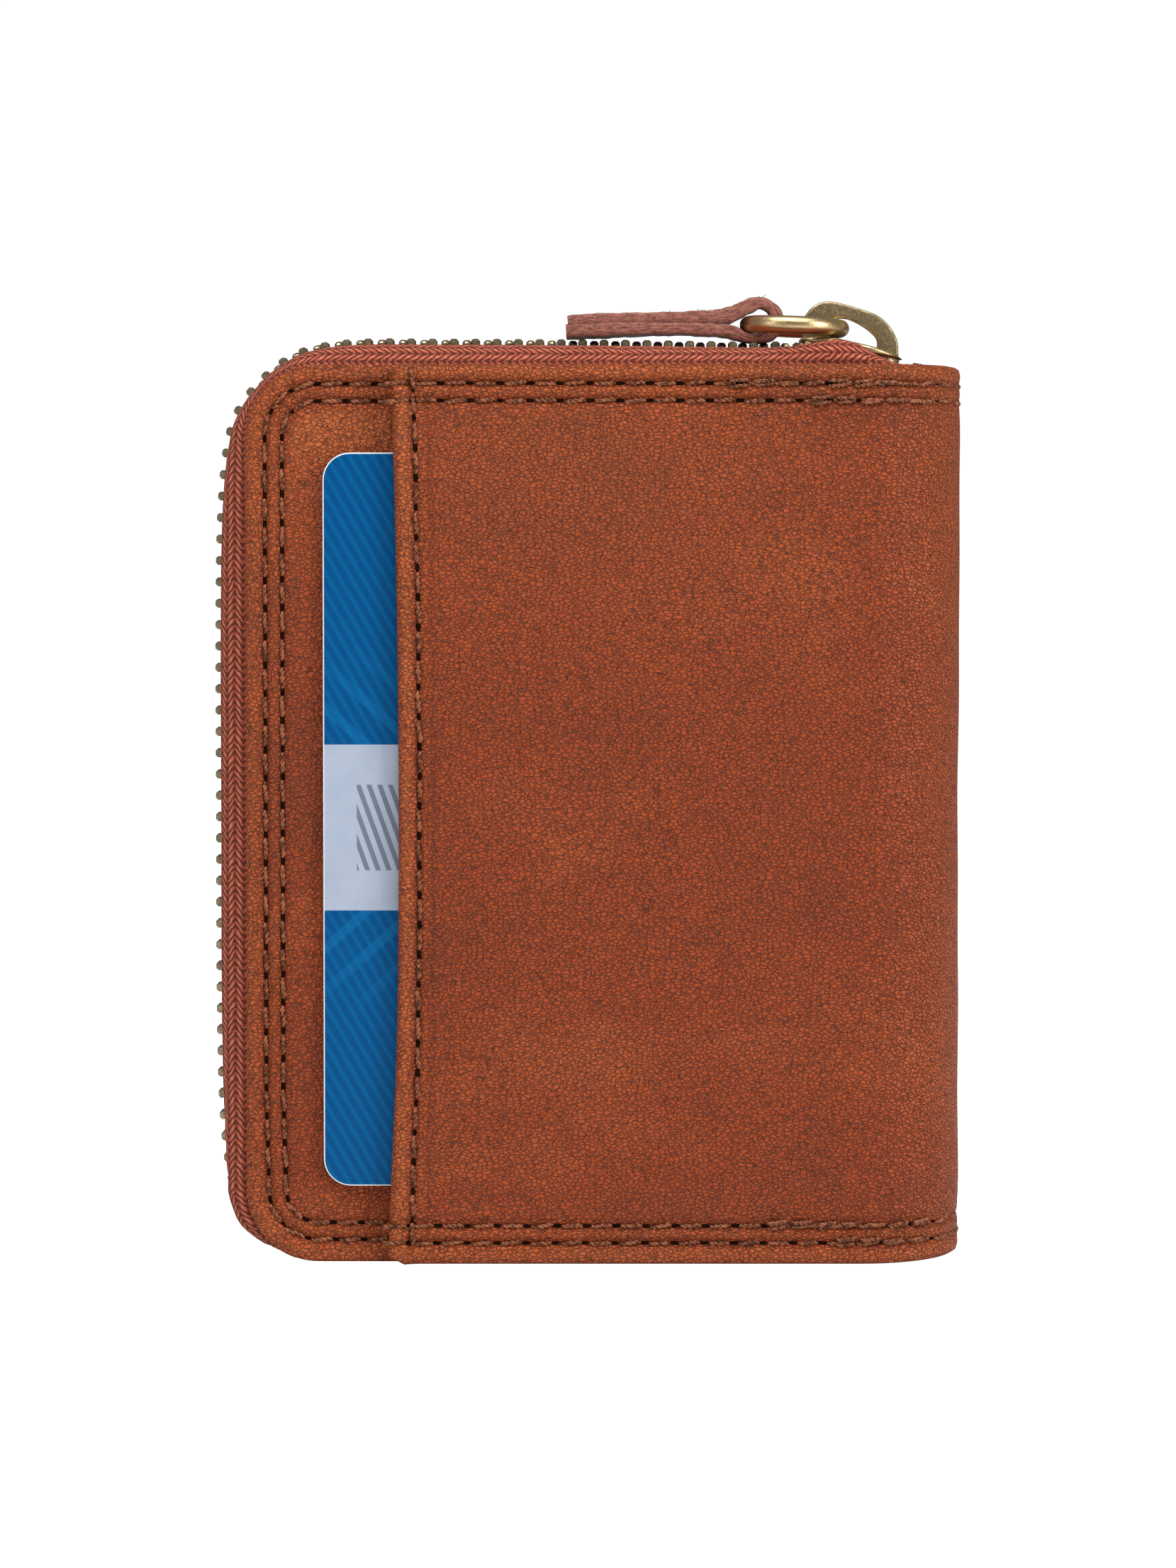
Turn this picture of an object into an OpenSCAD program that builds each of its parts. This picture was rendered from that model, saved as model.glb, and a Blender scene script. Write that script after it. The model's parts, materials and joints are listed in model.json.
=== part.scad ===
// Zip-around leather wallet standing on its lower edge.
// +X runs from the zip side to the spine, +Y from the back face to the front face, +Z up.
// The origin is the middle of the footprint, on the surface that the wallet stands on.

/* [Cover] */
// Width of the leather, from the zip-side edge to the outside of the spine
cover_w = 84; // [75:1:101]
// Height of the leather
cover_h = 105; // [98:1:130]
// Thickness of the closed wallet over both outer faces
thick = 24; // [23.5:0.5:30]
// Thickness of the outer leather
skin_t = 1; // [0.8:0.1:1.2]
// Thickness of the leather that the outer pocket is sewn on
base_t = 1.1; // [0.9:0.1:1.2]
// Radius of the two rounded corners on the zip side
corner_r = 8.5; // [7:0.5:12]
// Width of the turned and stitched border
rim_w = 5.2; // [5:0.1:7]

/* [Outer pocket] */
// Distance from the zip-side edge to the mouth of the outer pocket
mouth_x = 17.6; // [14:0.2:24]
// Width of the card
card_w = 53.98; // [50:0.01:56]
// Height of the card
card_h = 85.6; // [80:0.1:88]
// Thickness of the card
card_t = 0.76; // [0.5:0.01:0.9]
// Corner radius of the card
card_r = 3.18; // [2:0.01:4]
// Length of card that shows beside the pocket's mouth
card_shows = 8.5; // [4:0.5:10]
// Free space over the card inside the pocket
card_clear = 0.64; // [0.3:0.02:0.8]

/* [Linings and card slots] */
// Thickness of the stiffening board, and of the zip tape's seam allowance beside it
board_t = 0.5; // [0.3:0.1:0.7]
// Thickness of the lining fabric
lining_t = 0.6; // [0.4:0.1:0.7]
// Thickness of the leather inside the wallet
inner_t = 0.8; // [0.6:0.1:0.9]
// Distance that each card slot steps back from the one before it
slot_step = 9; // [6:0.5:12]
// Space left between two layers
layer_gap = 0.1; // [0.05:0.05:0.15]
// Space for banknotes behind the inner panel
note_gap = 0.4; // [0.2:0.1:0.6]

/* [Stitching] */
// Distance from the leather's edge to the outer row of stitches
seam_1 = 2.3; // [1.8:0.1:2.6]
// Distance from the leather's edge to the inner row of stitches
seam_2 = 4.3; // [3.8:0.1:4.4]
// Width of a row of thread
thread_w = 0.6; // [0.4:0.05:0.7]
// Depth of the groove that a row of thread lies in
thread_groove = 0.4; // [0.2:0.05:0.5]
// Distance from the pocket's mouth to its hem stitches
hem_seam = 2.3; // [1.8:0.1:3]

/* [Zip] */
// Distance between two teeth of one row
tooth_pitch = 2.5; // [2:0.1:3]
// Size of a tooth along the zip
tooth_l = 1; // [0.8:0.05:1.05]
// Size of a tooth through the tape
tooth_h = 2.1; // [1.8:0.1:2.3]
// Distance from the zip's middle to the back of a tooth
tooth_w = 2.9; // [2.6:0.1:3.1]
// Distance that a tooth's head reaches past the zip's middle
tooth_lap = 0.7; // [0.4:0.1:0.9]
// Thickness of the zip tape
tape_t = 0.5; // [0.4:0.05:0.6]
// Bulge of the zip past the leather, measured to the middle of the teeth on the zip side
bulge = 3; // [2:0.1:3.5]

/* [Slider] */
// Length of the slider
slider_l = 12.4; // [11:0.2:13]
// Width of the slider
slider_w = 8.8; // [8.2:0.1:9.6]
// Thickness of each slider plate
plate_t = 0.8; // [0.6:0.1:0.8]
// Tilt of the slider, nose down towards the spine, in degrees
slider_tilt = 10; // [5:0.5:11]
// Thickness of the bridge over the slider
bridge_t = 2.2; // [1.6:0.1:2.3]
// Diameter of the pull ring's wire
wire_d = 2.1; // [1.6:0.1:2.1]
// Diameter of the pull ring, measured to the middle of its wire
ring_d = 10.9; // [10:0.1:12]
// Rise of the resting ring towards the leather pull, in degrees
ring_rise = 2.4; // [0:0.1:4]
// Width of the leather pull where it passes through the ring
pull_neck_w = 5.2; // [4:0.1:5.4]
// Width of the leather pull's free end
pull_tail_w = 9; // [7:0.5:11]
// Length of the leather pull from the ring's wire to its free end
pull_l = 21.8; // [16:0.2:26]

/* [Hidden] */
$fn = 64;

eps = 0.01;
tan_leather = [0.60, 0.26, 0.11];
brown_leather = [0.50, 0.22, 0.10];
thread_brown = [0.24, 0.13, 0.07];
tape_brown = [0.45, 0.17, 0.12];
lining_brown = [0.30, 0.16, 0.10];
old_brass = [0.48, 0.40, 0.22];
card_blue = [0.02, 0.30, 0.58];
board_grey = [0.62, 0.58, 0.50];
foam_white = [0.85, 0.84, 0.80];

// Distances from the middle plane, outwards, of each layer of a half
half_t = thick / 2;
skin_in = half_t - skin_t;
card_out = skin_in - card_clear;
base_out = card_out - card_t - layer_gap;
base_in = base_out - base_t;
board_out = base_in - layer_gap;
board_in = board_out - board_t;
lining_out = board_in - layer_gap;
lining_in = lining_out - lining_t;
inner_out = lining_in - note_gap;
inner_in = inner_out - inner_t;

// Places along X
edge_x = -(cover_w - bulge - tooth_h / 2) / 2;
spine_x = edge_x + cover_w;
bend_x = spine_x - half_t;
bend_deg = 40;
crease_gap_deg = 2;

// Insets of the layers from the leather's edge
lining_inset = 2;
inner_inset = 3.5;
board_inset = rim_w + 0.8;
tape_margin = rim_w + 0.3;

// ---- Outlines in the plane of a cover, with X across and Z up ----

// A cover's outline, with round corners on the zip side
module cover_outline(inset = 0, right = bend_x) {
    r = max(corner_r - inset, 0.5);
    left = edge_x + inset;
    union() {
        translate([left + r, inset]) square([right - left - r, cover_h - 2 * inset]);
        translate([left, inset + r]) square([r + eps, cover_h - 2 * (inset + r)]);
        for (z = [inset + r, cover_h - inset - r]) translate([left + r, z]) circle(r);
    }
}

// A strip of the outline, w wide, along the zip side, the top and the bottom
module border(inset, w, right = bend_x) {
    difference() {
        cover_outline(inset, right);
        cover_outline(inset + w, right + 1);
    }
}

// Both rows of rim stitches, widened by extra on each side
module rim_seams(extra = 0, right = bend_x) {
    for (inset = [seam_1, seam_2])
        border(inset - thread_w / 2 - extra, thread_w + 2 * extra, right);
}

// Extrudes an outline between two distances behind the middle plane
module layer(from, to) {
    translate([0, -from, 0]) rotate([90, 0, 0]) linear_extrude(to - from) children();
}

// Turns a piece of the back half into one of the front half
module to_front() {
    mirror([0, 1, 0]) children();
}

// A wall bent round the spine, between two angles from straight back
module spine_wall(r_in, r_out, from_deg, to_deg, z0, z1) {
    reach = 3 * r_out;
    translate([bend_x, 0, z0]) linear_extrude(z1 - z0) intersection() {
        difference() {
            circle(r_out, $fn = 96);
            circle(r_in, $fn = 96);
        }
        polygon([
            [0, 0],
            reach * [sin(from_deg), -cos(from_deg)],
            reach * [sin((from_deg + to_deg) / 2), -cos((from_deg + to_deg) / 2)],
            reach * [sin(to_deg), -cos(to_deg)]
        ]);
    }
}

// Rows of thread round the spine, widened by extra on each side
module spine_rows(r_in, r_out, from_deg, to_deg, extra = 0) {
    for (inset = [seam_1, seam_2]) for (z = [inset, cover_h - inset])
        spine_wall(r_in, r_out, from_deg, to_deg, z - thread_w / 2 - extra, z + thread_w / 2 + extra);
}

// ---- Leather ----

mouth_edge_x = edge_x + mouth_x;
hem_x = mouth_edge_x + hem_seam;
thread_gap = 0.05; // between a row of thread and its groove
thread_in = half_t - thread_groove + thread_gap;
rim_step = 0.05; // between the raised rim of the base panel and the pocket on it
mouth_step = 0.2; // between the pocket's mouth and that raised rim

module base_panel() {
    color(tan_leather) difference() {
        union() {
            layer(base_in, base_out) cover_outline();
            layer(base_out - eps, skin_in - rim_step) difference() {
                border(0, rim_w);
                translate([edge_x - 1, -1]) square([mouth_x + mouth_step + 1, cover_h + 2]);
            }
        }
        layer(base_out - thread_groove, base_out + 1) intersection() {
            rim_seams(thread_gap);
            translate([edge_x, 0]) square([mouth_x, cover_h]);
        }
    }
}

module pocket_panel() {
    color(tan_leather) difference() {
        union() {
            layer(skin_in, half_t) translate([mouth_edge_x, 0]) square([bend_x - mouth_edge_x, cover_h]);
            spine_wall(skin_in, half_t, 0, bend_deg - crease_gap_deg, 0, cover_h);
        }
        layer(half_t - thread_groove, half_t + 1) rim_seams(thread_gap, bend_x + eps);
        spine_rows(half_t - thread_groove, half_t + 1, 0, bend_deg, thread_gap);
        layer(half_t - thread_groove, half_t + 1) hem_line(thread_gap);
    }
}

// The row of stitches beside the pocket's mouth, between the inner rim rows
module hem_line(extra = 0) {
    clear = seam_2 + thread_w;
    translate([hem_x - thread_w / 2 - extra, clear - extra])
        square([thread_w + 2 * extra, cover_h - 2 * clear + 2 * extra]);
}

module front_leather() {
    color(tan_leather) to_front() difference() {
        union() {
            layer(skin_in, half_t) cover_outline();
            layer(base_in, skin_in + eps) border(0, rim_w);
            spine_wall(skin_in, half_t, 0, bend_deg - crease_gap_deg, 0, cover_h);
        }
        layer(half_t - thread_groove, half_t + 1) rim_seams(thread_gap, bend_x + eps);
        spine_rows(half_t - thread_groove, half_t + 1, 0, bend_deg, thread_gap);
    }
}

module spine_leather() {
    from = bend_deg + crease_gap_deg;
    color(tan_leather) difference() {
        spine_wall(skin_in, half_t, from, 180 - from, 0, cover_h);
        spine_rows(half_t - thread_groove, half_t + 1, from - 1, 181 - from, thread_gap);
    }
}

// ---- Thread ----

module rim_thread_on(out, from_x, right) {
    layer(out - thread_groove + thread_gap, out) intersection() {
        rim_seams(0, right);
        translate([from_x, 0]) square([right - from_x, cover_h]);
    }
}

module back_rim_thread() {
    color(thread_brown) {
        rim_thread_on(base_out, edge_x, mouth_edge_x - mouth_step / 2);
        rim_thread_on(half_t, mouth_edge_x + mouth_step / 2, bend_x);
        spine_rows(thread_in, half_t, 0.5, bend_deg - crease_gap_deg);
    }
}

module front_rim_thread() {
    color(thread_brown) to_front() {
        rim_thread_on(half_t, edge_x, bend_x);
        spine_rows(thread_in, half_t, 0.5, bend_deg - crease_gap_deg);
    }
}

module pocket_hem_thread() {
    color(thread_brown) layer(thread_in, half_t) hem_line();
}

module spine_thread() {
    from = bend_deg + crease_gap_deg;
    color(thread_brown) spine_rows(thread_in, half_t, from, 180 - from);
}

// ---- Boards, padding and linings ----

board_right = bend_x - 1;
lining_right = bend_x - 0.5;

module board() {
    color(board_grey) layer(board_in, board_out) cover_outline(board_inset, board_right);
}

module padding() {
    color(foam_white) layer(base_in, skin_in - 0.1) cover_outline(rim_w + 0.2, board_right);
}

module lining() {
    color(lining_brown) layer(lining_in, lining_out) cover_outline(lining_inset, lining_right);
}

module spine_lining() {
    from = bend_deg + crease_gap_deg;
    color(lining_brown) spine_wall(skin_in - layer_gap - lining_t, skin_in - layer_gap, from, 180 - from,
        tape_margin + 1, cover_h - tape_margin - 1);
}

// ---- Card slots inside ----

module inner_panel() {
    color(brown_leather) layer(inner_in, inner_out) cover_outline(inner_inset, board_right);
}

// A slot's mouth faces the spine, and each slot lies on the one before it
module card_slot(n) {
    out = inner_in - layer_gap - (n - 1) * (inner_t + layer_gap);
    color(brown_leather) layer(out - inner_t, out)
        cover_outline(inner_inset, board_right - n * slot_step);
}

// ---- Card ----

card_left = mouth_edge_x - card_shows;
card_bottom = (cover_h - card_h) / 2 - 0.6;

module id_card() {
    color(card_blue) layer(base_out + layer_gap, card_out) translate([card_left, card_bottom]) union() {
        translate([card_r, 0]) square([card_w - 2 * card_r, card_h]);
        translate([0, card_r]) square([card_w, card_h - 2 * card_r]);
        for (x = [card_r, card_w - card_r]) for (z = [card_r, card_h - card_r])
            translate([x, z]) circle(card_r);
    }
}

// ---- Zip: its path runs along the leather's edge, from the spine's top round to the spine's foot ----

zip_end_x = bend_x + 7.5;
slider_x = spine_x - 13.15;
run = zip_end_x - edge_x - corner_r;
arc_l = corner_r * PI / 2;
side = cover_h - 2 * corner_r;
corner_1 = run + arc_l / 2;
corner_2 = run + 1.5 * arc_l + side;
zip_l = 2 * run + 2 * arc_l + side;
slope = tan(slider_tilt);
slider_s = zip_end_x - slider_x;
tail_d = 1.75;
slider_d = tail_d - slope * slider_l / 2;

// [place along the path, height of the teeth over the leather's edge]
rise = [
    [-5, slider_d - slope * (slider_s + 5)],
    [0, slider_d - slope * slider_s],
    [slider_s, slider_d],
    [slider_s + slider_l / 2, tail_d],
    [slider_s + slider_l / 2 + 7, tail_d + 0.12],
    [run * 0.55, 2.1],
    [run * 0.8, 2.2],
    [run - 3, 2.1],
    [corner_1, 0.75],
    [run + arc_l + 3, bulge - 0.7],
    [run + arc_l + 14, bulge - 0.1],
    [run + arc_l + side / 2, bulge],
    [run + arc_l + side - 14, bulge - 0.1],
    [run + arc_l + side - 3, bulge - 0.8],
    [corner_2, 0.1],
    [corner_2 + arc_l / 4, -0.85],
    [corner_2 + arc_l / 2, -1.55],
    [corner_2 + arc_l / 2 + 6, -1.7],
    [zip_l, -1.7],
    [zip_l + 5, -1.7]
];

function segment(s, i = 1) = s < rise[i + 1][0] || i >= len(rise) - 3 ? i : segment(s, i + 1);
function key_slope(i) = (rise[i + 1][1] - rise[i - 1][1]) / (rise[i + 1][0] - rise[i - 1][0]);
function hermite(t, h, a, b, ma, mb) =
    (2 * t^3 - 3 * t^2 + 1) * a + (t^3 - 2 * t^2 + t) * h * ma
    + (3 * t^2 - 2 * t^3) * b + (t^3 - t^2) * h * mb;
function lift(s) = let (
        i = segment(s),
        h = rise[i + 1][0] - rise[i][0]
    ) hermite((s - rise[i][0]) / h, h, rise[i][1], rise[i + 1][1], key_slope(i), key_slope(i + 1));

// Angle of the path's outward normal
function normal_deg(s) =
    s < run ? 90
    : s < run + arc_l ? 90 + 90 * (s - run) / arc_l
    : s < run + arc_l + side ? 180
    : s < run + 2 * arc_l + side ? 180 + 90 * (s - run - arc_l - side) / arc_l
    : 270;
function edge_point(s) = let (a = normal_deg(s), mid = edge_x + corner_r)
    s < run ? [zip_end_x - s, cover_h]
    : s < run + arc_l ? [mid, cover_h - corner_r] + corner_r * [cos(a), sin(a)]
    : s < run + arc_l + side ? [edge_x, cover_h - corner_r - (s - run - arc_l)]
    : s < run + 2 * arc_l + side ? [mid, corner_r] + corner_r * [cos(a), sin(a)]
    : [mid + s - run - 2 * arc_l - side, 0];
function at(s, d) = edge_point(s) + d * [cos(normal_deg(s)), sin(normal_deg(s))];
function chain(s) = at(s, lift(s));

// Length along the teeth, as a table from that length to the place on the path
samples = 300;
function lengths(k = 1, sum = 0) = k > samples ? [] : let (
        a = chain((k - 1) * zip_l / samples),
        b = chain(k * zip_l / samples),
        now = sum + norm(b - a)
    ) concat([[now, k * zip_l / samples]], lengths(k + 1, now));
chain_table = concat([[0, 0]], lengths());
chain_l = chain_table[samples][0];
function place(l) = lookup(l, chain_table);
function heading(s) = let (v = chain(s + 0.2) - chain(s - 0.2)) atan2(v[1], v[0]);

// Half a zip tape's section at s: [height over the edge, distance from the middle plane]
function tape_line(s) = let (
        d = lift(s),
        x = edge_point(s)[0],
        seat = (board_in + board_out) / 2,
        wall = x > bend_x ? sqrt((skin_in - 0.5)^2 - (x - bend_x)^2) : seat,
        w = min(seat, wall),
        flat = slider_w / 2 + 0.4,
        low = -0.5
    ) [
        [-tape_margin, w],
        [low, w],
        [low + 0.35 * (d - low), w - 0.12 * (w - flat)],
        [low + 0.72 * (d - low), w - 0.38 * (w - flat)],
        [low + 0.93 * (d - low), w - 0.7 * (w - flat)],
        [d, flat],
        [d, 1.5]
    ];
function unit(v) = v / norm(v);
function line_normal(l, k) = let (
        v = unit(l[min(k + 1, len(l) - 1)] - l[max(k - 1, 0)])
    ) [v[1], -v[0]];
// The closed section: one side of the line, then back along the other
function tape_ring(s) = let (l = tape_line(s), n = len(l)) [
        for (k = [0 : n - 1]) l[k] + tape_t / 2 * line_normal(l, k),
        for (k = [n - 1 : -1 : 0]) l[k] - tape_t / 2 * line_normal(l, k)
    ];
stations = concat(
    [for (k = [0 : 11]) k * run / 12],
    [for (k = [0 : 9]) run + k * arc_l / 10],
    [for (k = [0 : 11]) run + arc_l + k * side / 12],
    [for (k = [0 : 9]) run + arc_l + side + k * arc_l / 10],
    [for (k = [0 : 12]) run + 2 * arc_l + side + k * run / 12]
);

module tape() {
    rings = [for (s = stations) [for (p = tape_ring(s)) let (q = at(s, p[0])) [q[0], -p[1], q[1]]]];
    m = len(rings[0]);
    last = len(rings) - 1;
    color(tape_brown) polyhedron(
        points = [for (r = rings) each r],
        faces = concat(
            [[for (j = [m - 1 : -1 : 0]) j]],
            [for (i = [0 : last - 1]) for (j = [0 : m - 1]) let (
                    a = i * m + j, b = i * m + (j + 1) % m, c = a + m, d = b + m
                ) each [[a, b, d], [a, d, c]]],
            [[for (j = [0 : m - 1]) last * m + j]]
        )
    );
}

// A small metal piece across the zip, clamped on the tape
module clamp_at(s, along, from_y, to_y, h) {
    p = chain(s);
    translate([p[0], 0, p[1]]) rotate([0, -heading(s), 0])
        translate([-along / 2, -to_y, -h / 2]) cube([along, to_y - from_y, h]);
}

first_tooth_x = slider_x + 1.2;
first_tooth = lookup(zip_end_x - first_tooth_x, [for (row = chain_table) [row[1], row[0]]]);
last_tooth = chain_l - 5;

module teeth(start) {
    color(old_brass) for (l = [first_tooth + start : tooth_pitch : last_tooth])
        clamp_at(place(l), tooth_l, -tooth_lap, tooth_w, tooth_h);
}

module top_stop() {
    color(old_brass) clamp_at(0.8, 1.1, 1.9, 3.1, tooth_h);
}

module zip_bottom_stop() {
    color(old_brass) clamp_at(zip_l - 2.2, 2.4, -1.2, tooth_w + 0.1, tooth_h + 0.3);
}

// ---- Slider, drawn level with its middle at the origin, then placed on the zip ----

slider_z = cover_h + slider_d;
channel = tooth_h + 0.4;
flange = 0.6;

module on_zip() {
    translate([slider_x, 0, slider_z]) rotate([0, slider_tilt, 0]) children();
}

tail_half_w = slider_w / 2 - 0.6;

// A plate of the slider: a straight tail, wide shoulders and a round nose
module plate(z) {
    translate([0, 0, z]) linear_extrude(plate_t) union() {
        translate([-slider_l / 2, -tail_half_w]) square([slider_l - tail_half_w, 2 * tail_half_w]);
        translate([slider_l / 2 - slider_w / 2, 0]) circle(slider_w / 2);
        translate([-1, -slider_w / 2]) square([slider_l / 2 + 1 - slider_w / 2, slider_w]);
    }
}

module slider_body() {
    flange_t = tail_half_w - tooth_w - 0.3;
    color(old_brass) on_zip() union() {
        plate(channel / 2);
        plate(-channel / 2 - plate_t);
        for (hand = [-1, 1]) for (z = [-channel / 2 - eps, channel / 2 - flange + eps])
            translate([-slider_l / 2 + 0.4, hand * (tail_half_w - flange_t / 2) - flange_t / 2, z])
                cube([slider_l * 0.66, flange_t, flange]);
        translate([slider_l / 2 - 3, 0, -channel / 2 - eps]) cylinder(h = channel + 2 * eps, r = 1.1);
    }
}

// Axis of the ring in the bridge's window, from the slider's middle
ring_axis = [-0.98, 3.87];

// The bridge's outline and its window are each a hull of circles: [x, z, radius]
bridge_outline = [[-2.55, 4.05, 3.05], [2.75, 2.35, 3.15], [-5.2, 3, 0.35], [5.3, 0.95, 0.6]];
bridge_window = [[ring_axis[0], ring_axis[1], wire_d / 2 + 0.35], [1.9, 3, 1.25], [2.7, 2.1, 0.8]];

module hull_of(circles) {
    hull() for (c = circles) translate([c[0], c[1]]) circle(c[2], $fn = 40);
}

// The bridge stands upright on the tilted top plate
module slider_bridge() {
    seat = channel / 2 + plate_t;
    color(old_brass) translate([slider_x, bridge_t / 2, slider_z]) rotate([90, 0, 0])
        linear_extrude(bridge_t) difference() {
            hull_of(bridge_outline);
            rotate(-slider_tilt) translate([-slider_l, seat - slider_l]) square([2 * slider_l, slider_l]);
            hull_of(bridge_window);
        }
}

// ---- Ring and leather pull ----

ring_x = slider_x + ring_axis[0];
ring_z = slider_z + ring_axis[1];
pull_x = ring_x - ring_d * cos(ring_rise);
pull_z = ring_z + ring_d * sin(ring_rise);

module pull_ring() {
    color(old_brass) translate([ring_x, 0, ring_z]) rotate([0, ring_rise, 0])
        translate([-ring_d / 2, 0, 0])
        rotate_extrude() translate([ring_d / 2, 0]) circle(wire_d / 2, $fn = 32);
}

// The strap folded round the ring's wire, seen from the side, with the wire at the origin
loop_r = wire_d / 2 + 1.6;
hole_r = wire_d / 2 + 0.6;
grip_r = wire_d / 2 + 0.12;
pull_body = [-9.5, -0.35, 1.4];
pull_end = [-pull_l + 1.1, -0.55, 1.1];

module pull_side() {
    difference() {
        union() {
            hull_of([[hole_r - 0.5, loop_r - grip_r - 0.85, loop_r], pull_body]);
            hull_of([pull_body, pull_end]);
        }
        hull_of([[hole_r - 0.5, hole_r - grip_r, hole_r], [0, 0, grip_r], [-5.2, -0.3, 0.3]]);
    }
}

module pull_top() {
    neck = [pull_neck_w / 2, -7];
    tail = [pull_tail_w / 2, -pull_l + 5];
    half = [[6, neck[0]], [neck[1], neck[0]], [tail[1], tail[0]], [-pull_l - 1, tail[0]]];
    polygon(concat(half, [for (k = [3 : -1 : 0]) [half[k][0], -half[k][1]]]));
}

module leather_pull() {
    color(brown_leather) translate([pull_x, 0, pull_z]) intersection() {
        translate([0, pull_tail_w, 0]) rotate([90, 0, 0]) linear_extrude(2 * pull_tail_w) pull_side();
        translate([0, 0, -5]) linear_extrude(10) pull_top();
    }
}

base_panel();
pocket_panel();
board();  // back_board
lining();  // back_lining
inner_panel();  // back_inner_panel
card_slot(1);  // back_slot_1
card_slot(2);  // back_slot_2
card_slot(3);  // back_slot_3
back_rim_thread();
pocket_hem_thread();
tape();  // back_zip_tape
teeth(0);  // back_zip_teeth
top_stop();  // back_top_stop
zip_bottom_stop();
spine_leather();
spine_lining();
spine_thread();
front_leather();
to_front() padding();  // front_padding
to_front() board();  // front_board
to_front() lining();  // front_lining
to_front() inner_panel();  // front_inner_panel
to_front() card_slot(1);  // front_slot_1
to_front() card_slot(2);  // front_slot_2
to_front() card_slot(3);  // front_slot_3
front_rim_thread();
to_front() tape();  // front_zip_tape
to_front() teeth(tooth_pitch / 2);  // front_zip_teeth
to_front() top_stop();  // front_top_stop
id_card();
slider_body();
slider_bridge();
pull_ring();
leather_pull();
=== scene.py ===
# %% [markdown]
# # A zip-around leather wallet
# The wallet is two padded leather covers that fold round a spine, sewn to a zip on three sides. The back
# cover carries an open pocket with a card in it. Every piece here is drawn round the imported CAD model, so
# the first cell loads that model and keeps its box, and the next one reads the sizes that the pieces
# share.

# %% Load the frame
import json
import math

import bmesh
import bpy
import numpy as np
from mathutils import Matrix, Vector, geometry

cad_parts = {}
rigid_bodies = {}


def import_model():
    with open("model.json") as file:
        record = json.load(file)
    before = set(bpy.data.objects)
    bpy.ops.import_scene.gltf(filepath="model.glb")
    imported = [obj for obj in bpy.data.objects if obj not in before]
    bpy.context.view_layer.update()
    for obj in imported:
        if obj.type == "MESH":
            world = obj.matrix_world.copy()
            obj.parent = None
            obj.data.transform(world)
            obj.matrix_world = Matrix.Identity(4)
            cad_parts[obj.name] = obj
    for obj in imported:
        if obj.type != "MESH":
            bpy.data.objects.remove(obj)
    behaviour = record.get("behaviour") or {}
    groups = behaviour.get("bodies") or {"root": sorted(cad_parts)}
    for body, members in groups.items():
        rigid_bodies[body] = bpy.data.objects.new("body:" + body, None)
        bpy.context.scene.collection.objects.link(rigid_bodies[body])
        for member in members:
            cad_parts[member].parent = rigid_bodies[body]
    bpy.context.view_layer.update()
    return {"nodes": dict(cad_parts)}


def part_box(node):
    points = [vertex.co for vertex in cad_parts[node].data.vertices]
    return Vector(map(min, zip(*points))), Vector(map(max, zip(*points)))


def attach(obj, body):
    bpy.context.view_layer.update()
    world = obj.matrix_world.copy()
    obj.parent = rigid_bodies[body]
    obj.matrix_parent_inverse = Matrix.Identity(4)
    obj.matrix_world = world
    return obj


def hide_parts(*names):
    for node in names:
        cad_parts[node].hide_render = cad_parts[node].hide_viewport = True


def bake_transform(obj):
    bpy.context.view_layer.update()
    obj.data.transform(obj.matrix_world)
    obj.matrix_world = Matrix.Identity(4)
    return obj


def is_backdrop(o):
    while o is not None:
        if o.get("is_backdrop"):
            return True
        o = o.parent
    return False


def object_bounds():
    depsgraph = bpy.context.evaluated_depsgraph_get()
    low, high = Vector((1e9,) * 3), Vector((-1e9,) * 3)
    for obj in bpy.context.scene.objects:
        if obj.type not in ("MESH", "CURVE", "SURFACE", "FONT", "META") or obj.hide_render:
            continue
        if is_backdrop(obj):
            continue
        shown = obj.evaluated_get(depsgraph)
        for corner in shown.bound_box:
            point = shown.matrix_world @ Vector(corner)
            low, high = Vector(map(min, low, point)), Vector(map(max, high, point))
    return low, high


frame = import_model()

# %% Sizes, in millimetres
mm = 0.001


def box_mm(node):
    low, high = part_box(node)
    return low / mm, high / mm


edge_x = box_mm("front_leather")[0].x
height = box_mm("front_leather")[1].z
half_t = box_mm("front_leather")[1].y
spine_x = box_mm("spine_leather")[1].x
bend_x = spine_x - half_t
mouth_x = box_mm("pocket_panel")[0].x
mouth_left = mouth_x - 0.55
corner_r = 8.5
seams = (2.3, 4.3)
spine_mid = bend_x + half_t * math.pi / 2
print("leather", round(spine_x - edge_x, 2), "by", round(height, 2), "by", round(2 * half_t, 2), "mm")

# %% [markdown]
# ## Camera, light and floor
# A long lens at the height of the wallet's upper part, a little over half a metre away, keeps the sides
# nearly parallel. Big soft boxes above and at both sides give the leather its broad soft highlights. The
# floor and the backdrop are plain white. The camera is made first, because every look is judged through
# it.

# %% Camera
camera = bpy.data.objects.new("camera", bpy.data.cameras.new("camera"))
bpy.context.scene.collection.objects.link(camera)
bpy.context.scene.camera = camera
camera.location = (0, -0.512, 0.085)
camera.rotation_euler = (math.radians(88), 0, 0)
camera.data.sensor_width = 36
camera.data.lens = 99.0
camera.data.shift_y = -0.0621
camera.data.clip_start = 0.01

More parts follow.
